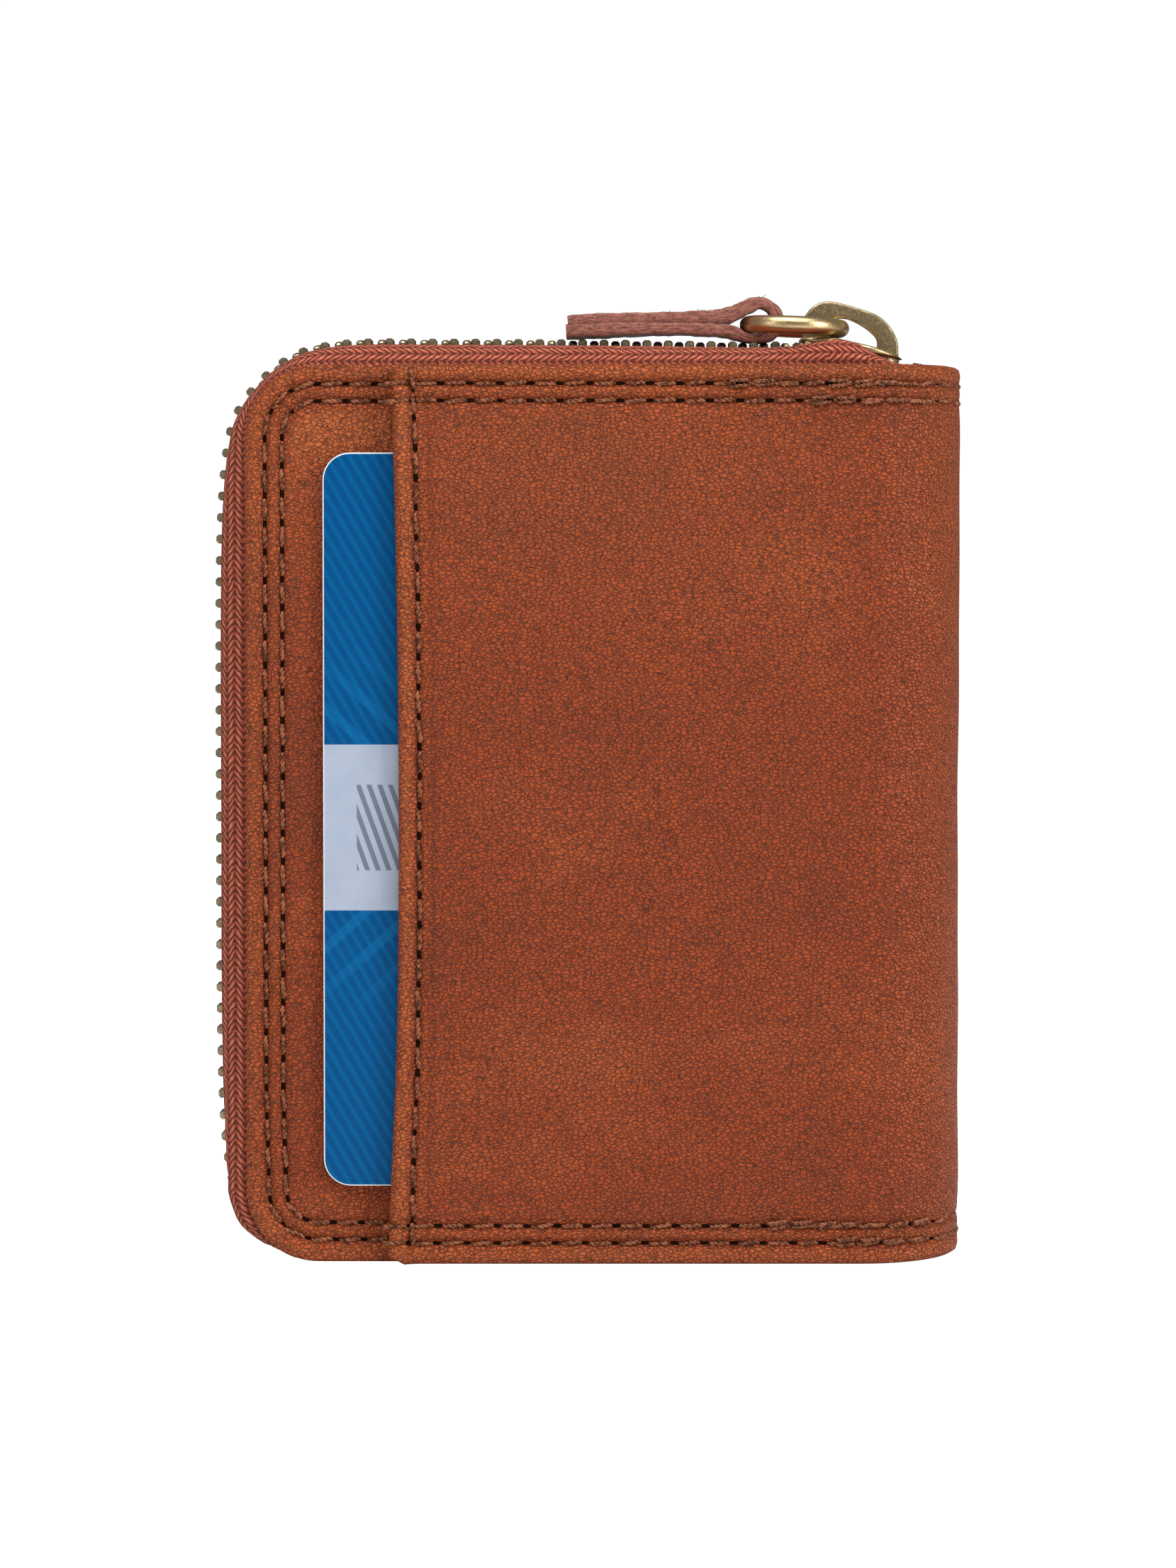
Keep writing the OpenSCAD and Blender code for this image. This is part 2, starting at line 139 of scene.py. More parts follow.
# %% Light and floor
bpy.context.scene.view_settings.view_transform = "Standard"
world = bpy.data.worlds.new("studio")
bpy.context.scene.world = world
world.use_nodes = True
world.node_tree.nodes["Background"].inputs["Color"].default_value = (1, 0.985, 0.965, 1)
world.node_tree.nodes["Background"].inputs["Strength"].default_value = 0.2
seen = world.node_tree.nodes.new("ShaderNodeLightPath").outputs["Is Camera Ray"]
backdrop = world.node_tree.nodes.new("ShaderNodeBackground")
backdrop.inputs["Color"].default_value = (1, 1, 1, 1)
backdrop.inputs["Strength"].default_value = 1.05
pick = world.node_tree.nodes.new("ShaderNodeMixShader")
world.node_tree.links.new(seen, pick.inputs[0])
world.node_tree.links.new(world.node_tree.nodes["Background"].outputs[0], pick.inputs[1])
world.node_tree.links.new(backdrop.outputs[0], pick.inputs[2])
world.node_tree.links.new(pick.outputs[0], world.node_tree.nodes["World Output"].inputs["Surface"])


def soft_box(name, place, target, size, power):
    lamp = bpy.data.objects.new(name, bpy.data.lights.new(name, "AREA"))
    lamp.data.shape = "RECTANGLE"
    lamp.data.size, lamp.data.size_y = size
    lamp.data.energy = power
    lamp.location = place
    lamp.rotation_euler = (Vector(target) - Vector(place)).to_track_quat("-Z", "Y").to_euler()
    bpy.context.scene.collection.objects.link(lamp)


middle = (0, 0, 0.06)
soft_box("box_above", (-0.05, -0.25, 0.75), middle, (0.7, 0.5), 5.6)
soft_box("box_right", (0.62, -0.42, 0.32), middle, (0.3, 0.6), 3.5)
soft_box("box_left", (-0.65, -0.5, 0.3), middle, (0.35, 0.6), 0.95)


def plain_material(name, colour, roughness):
    material = bpy.data.materials.new(name)
    material.use_nodes = True
    shader = material.node_tree.nodes["Principled BSDF"]
    shader.inputs["Base Color"].default_value = (*colour, 1)
    shader.inputs["Roughness"].default_value = roughness
    return material


def mesh_object(name, points, faces, material):
    """A smooth mesh with one material, from points in millimetres."""
    mesh = bpy.data.meshes.new(name)
    mesh.from_pydata([tuple(float(c) * mm for c in p) for p in points], [], faces)
    mesh.polygons.foreach_set("use_smooth", [True] * len(mesh.polygons))
    mesh.update()
    mesh.materials.append(material)
    piece = bpy.data.objects.new(name, mesh)
    bpy.context.scene.collection.objects.link(piece)
    return piece


paper = plain_material("studio_white", (0.9, 0.9, 0.9), 0.9)
paper_tree = paper.node_tree
seen = paper_tree.nodes.new("ShaderNodeLightPath").outputs["Is Camera Ray"]
paper_tree.nodes["Principled BSDF"].inputs["Emission Color"].default_value = (1, 1, 1, 1)
paper_tree.links.new(seen, paper_tree.nodes["Principled BSDF"].inputs["Emission Strength"])
floor = mesh_object(
    "floor",
    [(-4000, -4000, 0), (4000, -4000, 0), (4000, 4000, 0), (-4000, 4000, 0)],
    [(0, 1, 2, 3)],
    paper,
)
floor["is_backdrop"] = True
print("camera at", tuple(camera.location), "with", len(bpy.data.lights), "soft boxes")

# %% [markdown]
# ## Shared surface effects
# Leather grain, woven tape and rubbed metal each show up in more than one finish. A node group is a small
# surface recipe with its own inputs, so each recipe is built once and put into each material with its own
# numbers. The groups give out colours and heights only, and the shader itself stays in each material.

# %% Helpers for node trees
def add_node(tree, kind, links=None, **values):
    node = tree.nodes.new(kind)
    for key, value in values.items():
        setattr(node, key, value)
    for key, value in (links or {}).items():
        socket = node.inputs[key]
        if isinstance(value, bpy.types.NodeSocket):
            tree.links.new(value, socket)
        else:
            socket.default_value = value
    return node


def noise(tree, place, scale, detail=2.0, roughness=0.5, output="Fac"):
    links = {"Vector": place, "Scale": scale, "Detail": detail, "Roughness": roughness}
    return add_node(tree, "ShaderNodeTexNoise", links).outputs[output]


def vector_math(tree, operation, a, b):
    """Adds vector b to vector a, or scales a by the number b."""
    second = "Scale" if operation == "SCALE" else 1
    return add_node(tree, "ShaderNodeVectorMath", {0: a, second: b}, operation=operation).outputs[0]


def calc(tree, operation, a, b=0.5, c=None, clamp=False):
    links = {0: a, 1: b}
    if c is not None:
        links[2] = c
    return add_node(tree, "ShaderNodeMath", links, operation=operation, use_clamp=clamp).outputs[0]


def ramp(tree, value, stops):
    """A smooth step from stops[0] to stops[1], giving stops[2] to stops[3]."""
    node = add_node(
        tree,
        "ShaderNodeMapRange",
        {
            "Value": value,
            "From Min": stops[0],
            "From Max": stops[1],
            "To Min": stops[2],
            "To Max": stops[3],
        },
        interpolation_type="SMOOTHSTEP",
    )
    return node.outputs["Result"]


def blend_colour(tree, share, a, b):
    """Mixes colour b over colour a by the share."""
    node = add_node(tree, "ShaderNodeMix", data_type="RGBA")
    for index, value in ((0, share), (6, a), (7, b)):
        if isinstance(value, bpy.types.NodeSocket):
            tree.links.new(value, node.inputs[index])
        elif index == 0:
            node.inputs[0].default_value = value
        else:
            node.inputs[index].default_value = (*value[:3], 1)
    return node.outputs[2]


def new_group(name, inputs, outputs):
    tree = bpy.data.node_groups.new(name, "ShaderNodeTree")
    for label, kind, value in inputs:
        socket = tree.interface.new_socket(label, in_out="INPUT", socket_type=kind)
        if value is not None:
            socket.default_value = value
    for label, kind in outputs:
        tree.interface.new_socket(label, in_out="OUTPUT", socket_type=kind)
    return tree, tree.nodes.new("NodeGroupInput"), tree.nodes.new("NodeGroupOutput")


FLOAT, COLOUR, VECTOR = "NodeSocketFloat", "NodeSocketColor", "NodeSocketVector"

# %% [markdown]
# ### Leather grain
# Waxed leather has three sizes of pattern: cloudy dark and light areas as wide as a thumb, short creases
# between the pores, and the pores themselves. Noise gives the clouds and Voronoi cells give the pores.
# All of it follows the object's own coordinates, so neighbouring panels look cut from one hide.

# %% Leather grain group
leather_tree, g_in, g_out = new_group(
    "leather_grain",
    [
        ("Vector", VECTOR, None),
        ("Base", COLOUR, (0.26, 0.055, 0.016, 1)),
        ("Light", COLOUR, (0.37, 0.09, 0.027, 1)),
        ("Dark", COLOUR, (0.15, 0.03, 0.012, 1)),
        ("Cloudiness", FLOAT, 0.5),
        ("Pore size", FLOAT, 0.00055),
        ("Wear", FLOAT, 0.0),
    ],
    [("Color", COLOUR), ("Roughness", FLOAT), ("Height", FLOAT)],
)
# The colour of the painted shade in the stitch grooves and under the rolled edges.
painted_shade_colour = (0.045, 0.012, 0.006)
place = add_node(
    leather_tree,
    "ShaderNodeMapping",
    {"Vector": g_in.outputs["Vector"], "Scale": (0.8, 1.0, 1.3)},
).outputs[0]
clouds = noise(leather_tree, place, 42.0, 4.0, 0.55)
patches = noise(leather_tree, place, 380.0, 5.0, 0.7)
specks = noise(leather_tree, place, 2300.0, 2.0, 0.6)
pore_scale = calc(leather_tree, "DIVIDE", 1.0, g_in.outputs["Pore size"])
bent = noise(leather_tree, place, 700.0, 2.0, output="Color")
bent_small = vector_math(leather_tree, "SCALE", bent, 0.0007)
pore_place = vector_math(leather_tree, "ADD", place, bent_small)
pores = add_node(
    leather_tree,
    "ShaderNodeTexVoronoi",
    {"Vector": pore_place, "Scale": pore_scale},
    feature="DISTANCE_TO_EDGE",
).outputs["Distance"]
creases = ramp(leather_tree, pores, (0.0, 0.16, 0.0, 1.0))
cloudiness = g_in.outputs["Cloudiness"]
dark_share = calc(leather_tree, "MULTIPLY", ramp(leather_tree, clouds, (0.5, 0.8, 0.0, 1.0)), cloudiness)
less_cloudy = calc(leather_tree, "MULTIPLY", cloudiness, 0.7)
light_share = calc(
    leather_tree,
    "MULTIPLY",
    ramp(leather_tree, clouds, (0.5, 0.28, 0.0, 1.0)),
    less_cloudy,
)
tone = blend_colour(leather_tree, dark_share, g_in.outputs["Base"], g_in.outputs["Dark"])
tone = blend_colour(leather_tree, light_share, tone, g_in.outputs["Light"])
# The Wear input holds real wear and painted light: above 0 it lightens the leather with worn wax and painted
# highlights, and below 0 it darkens it with painted shade.
wear_and_painted_light_in = g_in.outputs["Wear"]
wear_and_highlight_share = calc(leather_tree, "MULTIPLY", wear_and_painted_light_in, 0.62, clamp=True)
tone = blend_colour(leather_tree, wear_and_highlight_share, tone, g_in.outputs["Light"])
painted_shade_share = calc(leather_tree, "MULTIPLY", wear_and_painted_light_in, -0.75, clamp=True)
tone = blend_colour(leather_tree, painted_shade_share, tone, painted_shade_colour)
patch_share = calc(
    leather_tree,
    "MULTIPLY",
    ramp(leather_tree, patches, (0.5, 0.72, 0.0, 0.5)),
    cloudiness,
)
tone = blend_colour(leather_tree, patch_share, tone, g_in.outputs["Dark"])
speck_share = ramp(leather_tree, specks, (0.49, 0.64, 0.0, 0.66))
tone = blend_colour(leather_tree, speck_share, tone, g_in.outputs["Dark"])
lit_speck = ramp(leather_tree, specks, (0.44, 0.3, 0.0, 0.14))
tone = blend_colour(leather_tree, lit_speck, tone, g_in.outputs["Light"])
between_pores = calc(leather_tree, "SUBTRACT", 1.0, creases)
crease_share = calc(leather_tree, "MULTIPLY", between_pores, 0.34)
tone = blend_colour(leather_tree, crease_share, tone, g_in.outputs["Dark"])
leather_tree.links.new(tone, g_out.inputs["Color"])
dry = calc(leather_tree, "MULTIPLY_ADD", patches, 0.22, 0.36)
rough = calc(leather_tree, "ADD", dry, calc(leather_tree, "MULTIPLY", between_pores, 0.1))
leather_tree.links.new(rough, g_out.inputs["Roughness"])
fine = calc(leather_tree, "MULTIPLY_ADD", specks, 0.6, calc(leather_tree, "MULTIPLY", patches, 0.5))
leather_tree.links.new(calc(leather_tree, "ADD", creases, fine), g_out.inputs["Height"])
print("leather group has", len(leather_tree.nodes), "nodes")

# %% [markdown]
# ### Woven ribs
# The zip's tape is a coarse herringbone: ribs run along it, and the yarns of two neighbouring ribs slant
# opposite ways. The tape carries its own map, with millimetres along it and across it, so sine waves of
# the right length make ribs and yarns, and the weave bends with the tape round the corners. The gaps
# between the yarns are darkened with painted shade and their crests lightened with painted highlight.
# The lining uses the same group, finer.

# %% Woven rib group
weave_tree, w_in, w_out = new_group(
    "woven_ribs",
    [
        ("Vector", VECTOR, None),
        ("Rib", FLOAT, 1.3),
        ("Yarn", FLOAT, 0.55),
        ("Base", COLOUR, (0.3, 0.07, 0.045, 1)),
        ("Light", COLOUR, (0.45, 0.13, 0.09, 1)),
        ("Dark", COLOUR, (0.05, 0.012, 0.01, 1)),
    ],
    [("Color", COLOUR), ("Height", FLOAT)],
)
wobble = noise(weave_tree, w_in.outputs["Vector"], 1.1, 2.0, output="Color")
wobble = vector_math(weave_tree, "ADD", wobble, (-0.5, -0.5, -0.5))
wobble = vector_math(weave_tree, "SCALE", wobble, 0.55)
woven = vector_math(weave_tree, "ADD", w_in.outputs["Vector"], wobble)
split = add_node(weave_tree, "ShaderNodeSeparateXYZ", {0: woven})
rib_at = calc(weave_tree, "DIVIDE", split.outputs[1], w_in.outputs["Rib"])
rib_part = calc(weave_tree, "FRACT", rib_at, 0.0)
zigzag = calc(weave_tree, "ABSOLUTE", calc(weave_tree, "SUBTRACT", rib_part, 0.5))
yarn_size = w_in.outputs["Yarn"]
steepness = calc(weave_tree, "DIVIDE", calc(weave_tree, "MULTIPLY", w_in.outputs["Rib"], 1.15), yarn_size)
along = calc(weave_tree, "DIVIDE", split.outputs[0], yarn_size)
slanted = calc(weave_tree, "ADD", along, calc(weave_tree, "MULTIPLY", zigzag, steepness))
yarn = calc(weave_tree, "SINE", calc(weave_tree, "MULTIPLY", slanted, math.tau))
yarn_up = calc(weave_tree, "MULTIPLY_ADD", yarn, 0.5, 0.5)
rib_wave = calc(weave_tree, "COSINE", calc(weave_tree, "MULTIPLY", rib_at, 2 * math.tau))
rib_up = calc(weave_tree, "MULTIPLY_ADD", rib_wave, -0.5, 0.5)
weave_height = calc(
    weave_tree,
    "MULTIPLY",
    calc(weave_tree, "POWER", yarn_up, 0.7),
    calc(weave_tree, "MULTIPLY_ADD", rib_up, 0.75, 0.25),
)
fuzz = noise(weave_tree, w_in.outputs["Vector"], 7.0, 3.0)
shown = calc(weave_tree, "ADD", weave_height, calc(weave_tree, "MULTIPLY_ADD", fuzz, 0.5, -0.25))
# Painted shade: the gaps between the yarns are darkened towards the Dark colour.
gap = ramp(weave_tree, shown, (0.1, 0.42, 0.0, 1.0))
# Painted highlight: the crests of the yarns are lightened towards the Light colour.
crest = ramp(weave_tree, shown, (0.55, 0.95, 0.0, 1.0))
cloth = blend_colour(weave_tree, gap, w_in.outputs["Dark"], w_in.outputs["Base"])
cloth = blend_colour(weave_tree, crest, cloth, w_in.outputs["Light"])
weave_tree.links.new(cloth, w_out.inputs["Color"])
weave_tree.links.new(shown, w_out.inputs["Height"])
print("weave group has", len(weave_tree.nodes), "nodes")

# %% [markdown]
# ### Aged brass
# Antique brass is plated dark and then tumbled, so its flats stay dark and pitted while every corner is
# rubbed bright. The pieces carry a wear value from 0 on the flats to 1 on the corners, which the script
# works out from their shape. Noise breaks its border up, and small cells make the pits.

# %% Aged brass group
brass_tree, b_in, b_out = new_group(
    "aged_brass",
    [
        ("Vector", VECTOR, None),
        ("Wear", FLOAT, 0.0),
        ("Bright", COLOUR, (0.62, 0.47, 0.24, 1)),
        ("Dull", COLOUR, (0.2, 0.145, 0.075, 1)),
        ("Pitting", FLOAT, 0.6),
    ],
    [("Color", COLOUR), ("Roughness", FLOAT), ("Height", FLOAT)],
)
smear = noise(brass_tree, b_in.outputs["Vector"], 900.0, 5.0, 0.65)
speckle = noise(brass_tree, b_in.outputs["Vector"], 4200.0, 3.0, 0.7)
broken_up = calc(
    brass_tree,
    "ADD",
    b_in.outputs["Wear"],
    calc(brass_tree, "MULTIPLY_ADD", smear, 0.9, -0.45),
)
shine = ramp(brass_tree, broken_up, (0.2, 0.8, 0.0, 1.0))
pits = calc(
    brass_tree,
    "MULTIPLY",
    ramp(brass_tree, speckle, (0.5, 0.66, 0.0, 1.0)),
    b_in.outputs["Pitting"],
)
metal = blend_colour(brass_tree, shine, b_in.outputs["Dull"], b_in.outputs["Bright"])
metal = blend_colour(brass_tree, calc(brass_tree, "MULTIPLY", pits, 0.7), metal, (0.05, 0.035, 0.02))
brass_tree.links.new(metal, b_out.inputs["Color"])
rough = calc(brass_tree, "MULTIPLY_ADD", shine, -0.14, 0.42)
pitted = calc(brass_tree, "ADD", rough, calc(brass_tree, "MULTIPLY", pits, 0.25))
brass_tree.links.new(pitted, b_out.inputs["Roughness"])
sunk = calc(brass_tree, "MULTIPLY_ADD", pits, -1.0, calc(brass_tree, "MULTIPLY", smear, 0.4))
brass_tree.links.new(sunk, b_out.inputs["Height"])
print("brass group has", len(brass_tree.nodes), "nodes")

# %% [markdown]
# ## Finishes
# Each finish is one material: a shader, the surface recipe that it needs, and a Bump node that turns the
# recipe's height into fine relief. Bump is enough for relief finer than about a tenth of a millimetre.
# Folds, seams and beads are modelled instead, because they change the outline.

# %% Material helpers
def new_material(name):
    material = bpy.data.materials.new(name)
    material.use_nodes = True
    tree = material.node_tree
    return material, tree, tree.nodes["Principled BSDF"]


def use_group(tree, group, **values):
    """A surface recipe with its inputs set, where an underscore stands for a space in an input's name."""
    node = tree.nodes.new("ShaderNodeGroup")
    node.node_tree = group
    for key, value in values.items():
        socket = node.inputs[key.replace("_", " ")]
        if isinstance(value, bpy.types.NodeSocket):
            tree.links.new(value, socket)
        else:
            socket.default_value = (*value, 1) if isinstance(value, tuple) else value
    return node


def object_place(tree):
    return tree.nodes.new("ShaderNodeTexCoord").outputs["Object"]


def attribute(tree, name):
    return add_node(tree, "ShaderNodeAttribute", attribute_name=name).outputs["Fac"]


def relief(tree, shader, height_socket, strength, depth):
    bump = add_node(
        tree,
        "ShaderNodeBump",
        {"Height": height_socket, "Strength": strength, "Distance": depth},
    )
    tree.links.new(bump.outputs["Normal"], shader.inputs["Normal"])


def leather_material(name, base, light, dark, cloudiness, pore, strength):
    material, tree, shader = new_material(name)
    grain = use_group(
        tree,
        leather_tree,
        Vector=object_place(tree),
        Base=base,
        Light=light,
        Dark=dark,
        Cloudiness=cloudiness,
        Pore_size=pore,
        # On the leather the wear attribute holds both real wear and painted light.
        Wear=attribute(tree, "wear"),
    )
    tree.links.new(grain.outputs["Color"], shader.inputs["Base Color"])
    tree.links.new(grain.outputs["Roughness"], shader.inputs["Roughness"])
    relief(tree, shader, grain.outputs["Height"], strength, 0.00024)
    shader.inputs["Specular IOR Level"].default_value = 0.24
    return material


# %% Leather finishes
tan_leather = leather_material(
    "cognac_leather", (0.35, 0.056, 0.0105), (0.52, 0.12, 0.03), (0.12, 0.026, 0.010), 0.6, 0.0005, 1.0
)
inner_leather = leather_material(
    "inner_leather", (0.18, 0.042, 0.016), (0.26, 0.066, 0.024), (0.1, 0.022, 0.01), 0.4, 0.0007, 0.5
)
print("leathers", tan_leather.name, "and", inner_leather.name)

# %% Suede edge of the pull
pull_leather, tree, shader = new_material("raw_edge_leather")
stretched = add_node(
    tree,
    "ShaderNodeMapping",
    {"Vector": tree.nodes.new("ShaderNodeUVMap").outputs[0], "Scale": (0.5, 3.4, 1.0)},
)
fibres = noise(tree, stretched.outputs[0], 1.6, 5.0, 0.65)
nap = noise(tree, object_place(tree), 2600.0, 3.0, 0.7)
suede = blend_colour(
    tree,
    ramp(tree, fibres, (0.36, 0.62, 0.0, 1.0)),
    (0.11, 0.03, 0.019),
    (0.4, 0.14, 0.095),
)
suede = blend_colour(tree, ramp(tree, nap, (0.45, 0.75, 0.0, 0.55)), suede, (0.5, 0.21, 0.15))
suede = blend_colour(tree, ramp(tree, nap, (0.45, 0.25, 0.0, 0.6)), suede, (0.09, 0.026, 0.018))
face_side = attribute(tree, "face_side")
grain = use_group(
    tree,
    leather_tree,
    Vector=object_place(tree),
    Base=(0.24, 0.055, 0.022),
    Light=(0.36, 0.09, 0.03),
    Dark=(0.13, 0.03, 0.014),
    Cloudiness=0.5,
    Pore_size=0.0006,
)
tree.links.new(blend_colour(tree, face_side, suede, grain.outputs["Color"]), shader.inputs["Base Color"])
tree.links.new(calc(tree, "MULTIPLY_ADD", face_side, -0.4, 0.92), shader.inputs["Roughness"])
relief(tree, shader, calc(tree, "ADD", fibres, calc(tree, "MULTIPLY", nap, 0.6)), 0.7, 0.0002)
shader.inputs["Sheen Weight"].default_value = 0.35
shader.inputs["Sheen Roughness"].default_value = 0.5
print("pull leather has", len(tree.nodes), "nodes")

# %% Thread and needle holes
thread_brown, tree, shader = new_material("waxed_thread")
ply = noise(tree, object_place(tree), 2100.0, 3.0, 0.6)
strand = blend_colour(
    tree,
    ramp(tree, ply, (0.36, 0.64, 0.0, 1.0)),
    (0.07, 0.021, 0.0095),
    (0.36, 0.125, 0.058),
)
tree.links.new(strand, shader.inputs["Base Color"])
relief(tree, shader, ply, 0.5, 0.0001)
shader.inputs["Roughness"].default_value = 0.6
shader.inputs["Specular IOR Level"].default_value = 0.2
# The needle holes are coloured near black, a painted shade for the dark inside of each hole.
painted_hole_shade, tree, shader = new_material("painted_hole_shade")
shade = noise(tree, object_place(tree), 1800.0)
tree.links.new(
    blend_colour(tree, shade, (0.004, 0.002, 0.0015), (0.02, 0.008, 0.004)),
    shader.inputs["Base Color"],
)
shader.inputs["Roughness"].default_value = 1.0
shader.inputs["Specular IOR Level"].default_value = 0.0
print("thread", thread_brown.name, "and", painted_hole_shade.name)


# %% Tape and lining
def woven_material(name, rib, yarn, base, light, dark, depth):
    material, tree, shader = new_material(name)
    weave = use_group(
        tree,
        weave_tree,
        Vector=tree.nodes.new("ShaderNodeUVMap").outputs[0],
        Rib=rib,
        Yarn=yarn,
        Base=base,
        Light=light,
        Dark=dark,
    )
    tree.links.new(weave.outputs["Color"], shader.inputs["Base Color"])
    relief(tree, shader, weave.outputs["Height"], 0.9, depth)
    shader.inputs["Roughness"].default_value = 0.85
    shader.inputs["Sheen Weight"].default_value = 0.05
    shader.inputs["Specular IOR Level"].default_value = 0.15
    return material


# The light colour is the painted highlight on the yarn crests, and the dark colour the painted shade in the
# gaps.
tape_cloth = woven_material(
    "zip_tape_cloth", 2.3, 0.85, (0.46, 0.098, 0.05), (0.7, 0.2, 0.12), (0.1, 0.022, 0.013), 0.0003
)
lining_cloth = woven_material(
    "lining_cloth", 0.7, 0.4, (0.1, 0.04, 0.024), (0.17, 0.075, 0.045), (0.03, 0.012, 0.008), 0.0001
)
print("cloths", tape_cloth.name, "and", lining_cloth.name)


# %% Metals
def brass_material(name, bright, dull, pitting, wear):
    material, tree, shader = new_material(name)
    brass = use_group(
        tree,
        brass_tree,
        Vector=object_place(tree),
        Wear=attribute(tree, "wear") if wear is None else wear,
        Bright=bright,
        Dull=dull,
        Pitting=pitting,
    )
    tree.links.new(brass.outputs["Color"], shader.inputs["Base Color"])
    tree.links.new(brass.outputs["Roughness"], shader.inputs["Roughness"])
    relief(tree, shader, brass.outputs["Height"], 0.5, 0.00005)
    shader.inputs["Metallic"].default_value = 1.0
    return material


old_brass = brass_material("old_brass", (0.66, 0.5, 0.26), (0.27, 0.21, 0.115), 0.7, None)
ring_brass = brass_material("satin_brass", (0.68, 0.5, 0.26), (0.5, 0.36, 0.18), 0.3, 0.7)
tooth_brass = brass_material("tooth_brass", (0.52, 0.43, 0.27), (0.15, 0.125, 0.085), 0.55, 0.55)
print("metals", old_brass.name, ring_brass.name, tooth_brass.name)

# %% Board and felt
board_fibre, tree, shader = new_material("fibre_board")
chips = add_node(
    tree,
    "ShaderNodeTexVoronoi",
    {"Vector": object_place(tree), "Scale": 1600.0},
).outputs["Distance"]
tree.links.new(
    blend_colour(tree, chips, (0.12, 0.05, 0.026), (0.06, 0.026, 0.014)),
    shader.inputs["Base Color"],
)
relief(tree, shader, chips, 0.4, 0.0001)
shader.inputs["Roughness"].default_value = 0.9
padding_felt, tree, shader = new_material("padding_felt")
wool = noise(tree, object_place(tree), 1300.0, 6.0)
tree.links.new(
    blend_colour(tree, wool, (0.11, 0.05, 0.03), (0.2, 0.1, 0.06)),
    shader.inputs["Base Color"],
)
relief(tree, shader, wool, 0.6, 0.0002)
shader.inputs["Roughness"].default_value = 1.0
print(len(bpy.data.materials), "materials")

# %% [markdown]
# ## Leather panels
# Each cover is one panel of leather with a turned edge: a bead runs along the edge, two rows of stitches
# press two grooves beside it, and past them the leather lies over the padding. A flat panel could be a
# grid with a modifier, but grooves half a millimetre wide need points just where they are. So each panel
# starts as a flat pattern of points, denser beside the seams, that is filled with triangles, lifted by a
# height rule, and rolled over at its edges. Past the fold the same pattern wraps round the spine.

# %% Flat pattern and height rules
def smooth_step(a, b, x):
    t = np.clip((np.asarray(x, float) - a) / (b - a), 0, 1)
    return t * t * (3 - 2 * t)


def hill(x, centre, width):
    return np.exp(-(((np.asarray(x, float) - centre) / width) ** 2))


foot_shift = 0.3
hem_row_in = 2.6
cover_out = half_t - 0.05
base_out, base_in = 9.18, 8.45
rim_in, pad_in, pocket_in = 8.7, 10.9, 10.75


def seam_shift(z):
    """The rows of stitches lie a little further in along the foot."""
    return foot_shift * (1 - smooth_step(6, 22, z))


def row_distance(d, z):
    """The distance d from the edge as the rows see it, which leaves the edge's own bead where it is."""
    return d - seam_shift(z) * smooth_step(1.2, 2.2, d)


def edge_distance(u, z, left, radius):
    """The distance from a panel's edge, whose corners on the zip side are round."""
    d = np.minimum(np.minimum(z, height - z), u - left)
    if radius > 0:
        for corner_z, sign in ((radius, -1), (height - radius, 1)):
            inside = (u < left + radius) & ((z - corner_z) * sign > 0)
            d = np.where(inside, radius - np.hypot(u - left - radius, z - corner_z), d)
    return d


def rim_relief(d):
    """Bead, groove, ridge, groove and padding, in order of the distance d from the edge."""
    return (
        0.24 * hill(d, 1.15, 0.7)
        - 0.48 * hill(d, seams[0], 0.34)
        + 0.17 * hill(d, 3.3, 0.5)
        - 0.44 * hill(d, seams[1], 0.34)
        + 0.12 * smooth_step(4.6, 6.5, d)
    )


def spine_flat(u):
    """The rim's relief dies down where the leather is pulled round the spine."""
    return 1 - 0.65 * smooth_step(bend_x - 1, spine_mid - 3, u)


def waves(u, z):
    """Hand-worked leather is never quite flat: one slow swell and two finer ones, in millimetres."""
    swell = 0.07 * np.sin(u / 8.3 + 1.3) * np.sin(z / 12.1 + 0.5)
    return swell + 0.035 * np.sin(u / 3.7 + z / 5.2) + 0.03 * np.sin(z / 2.9 - u / 6.1)


def cover_height(u, z):
    d = row_distance(edge_distance(u, z, edge_x, corner_r), z)
    return cover_out + rim_relief(d) * spine_flat(u) + waves(u, z) * smooth_step(4.5, 9, d)


def base_height(u, z):
    d = row_distance(edge_distance(u, z, edge_x, corner_r), z)
    return base_out + 0.1 * (1 - smooth_step(4.9, 8.5, d)) + 0.9 * rim_relief(d)


def pocket_height(u, z):
    from_edge = np.minimum(z, height - z)
    d = row_distance(from_edge, z)
    m = u - mouth_left
    hem = 0.26 * hill(m, 1.15, 0.75) - 0.34 * hill(m, hem_row_in, 0.32) + 0.05 * hill(m, 3.0, 0.5)
    hem = hem * smooth_step(0.6, 2.8, from_edge)
    swell = waves(u, z) * smooth_step(4.5, 9, d) * smooth_step(4, 9, m)
    return cover_out + rim_relief(d) * spine_flat(u) + hem + swell


def mouth_bow(u, z):
    """The pocket's mouth bows towards the spine at half height, and stays straighter near the foot."""
    bow = 0.9 * (1 - ((z - height / 2) / (height / 2)) ** 2) - 0.45 * (1 - smooth_step(0, 32, z))
    return bow * np.exp(-np.maximum(u - mouth_left, 0) / 14)


def on_cover(side, u, z, w):
    """The place of a pattern point, w out from the middle: side -1 is the back cover, 1 the front one."""
    u, z, w = (np.asarray(v, float) for v in np.broadcast_arrays(u, z, w))
    turn = np.maximum(u - bend_x, 0) / half_t
    x = np.where(u > bend_x, bend_x + w * np.sin(turn), u)
    return np.stack([x, side * w * np.cos(turn), z], axis=-1)


print("pattern is", round(spine_mid - edge_x, 1), "mm from the zip side to the spine's middle")


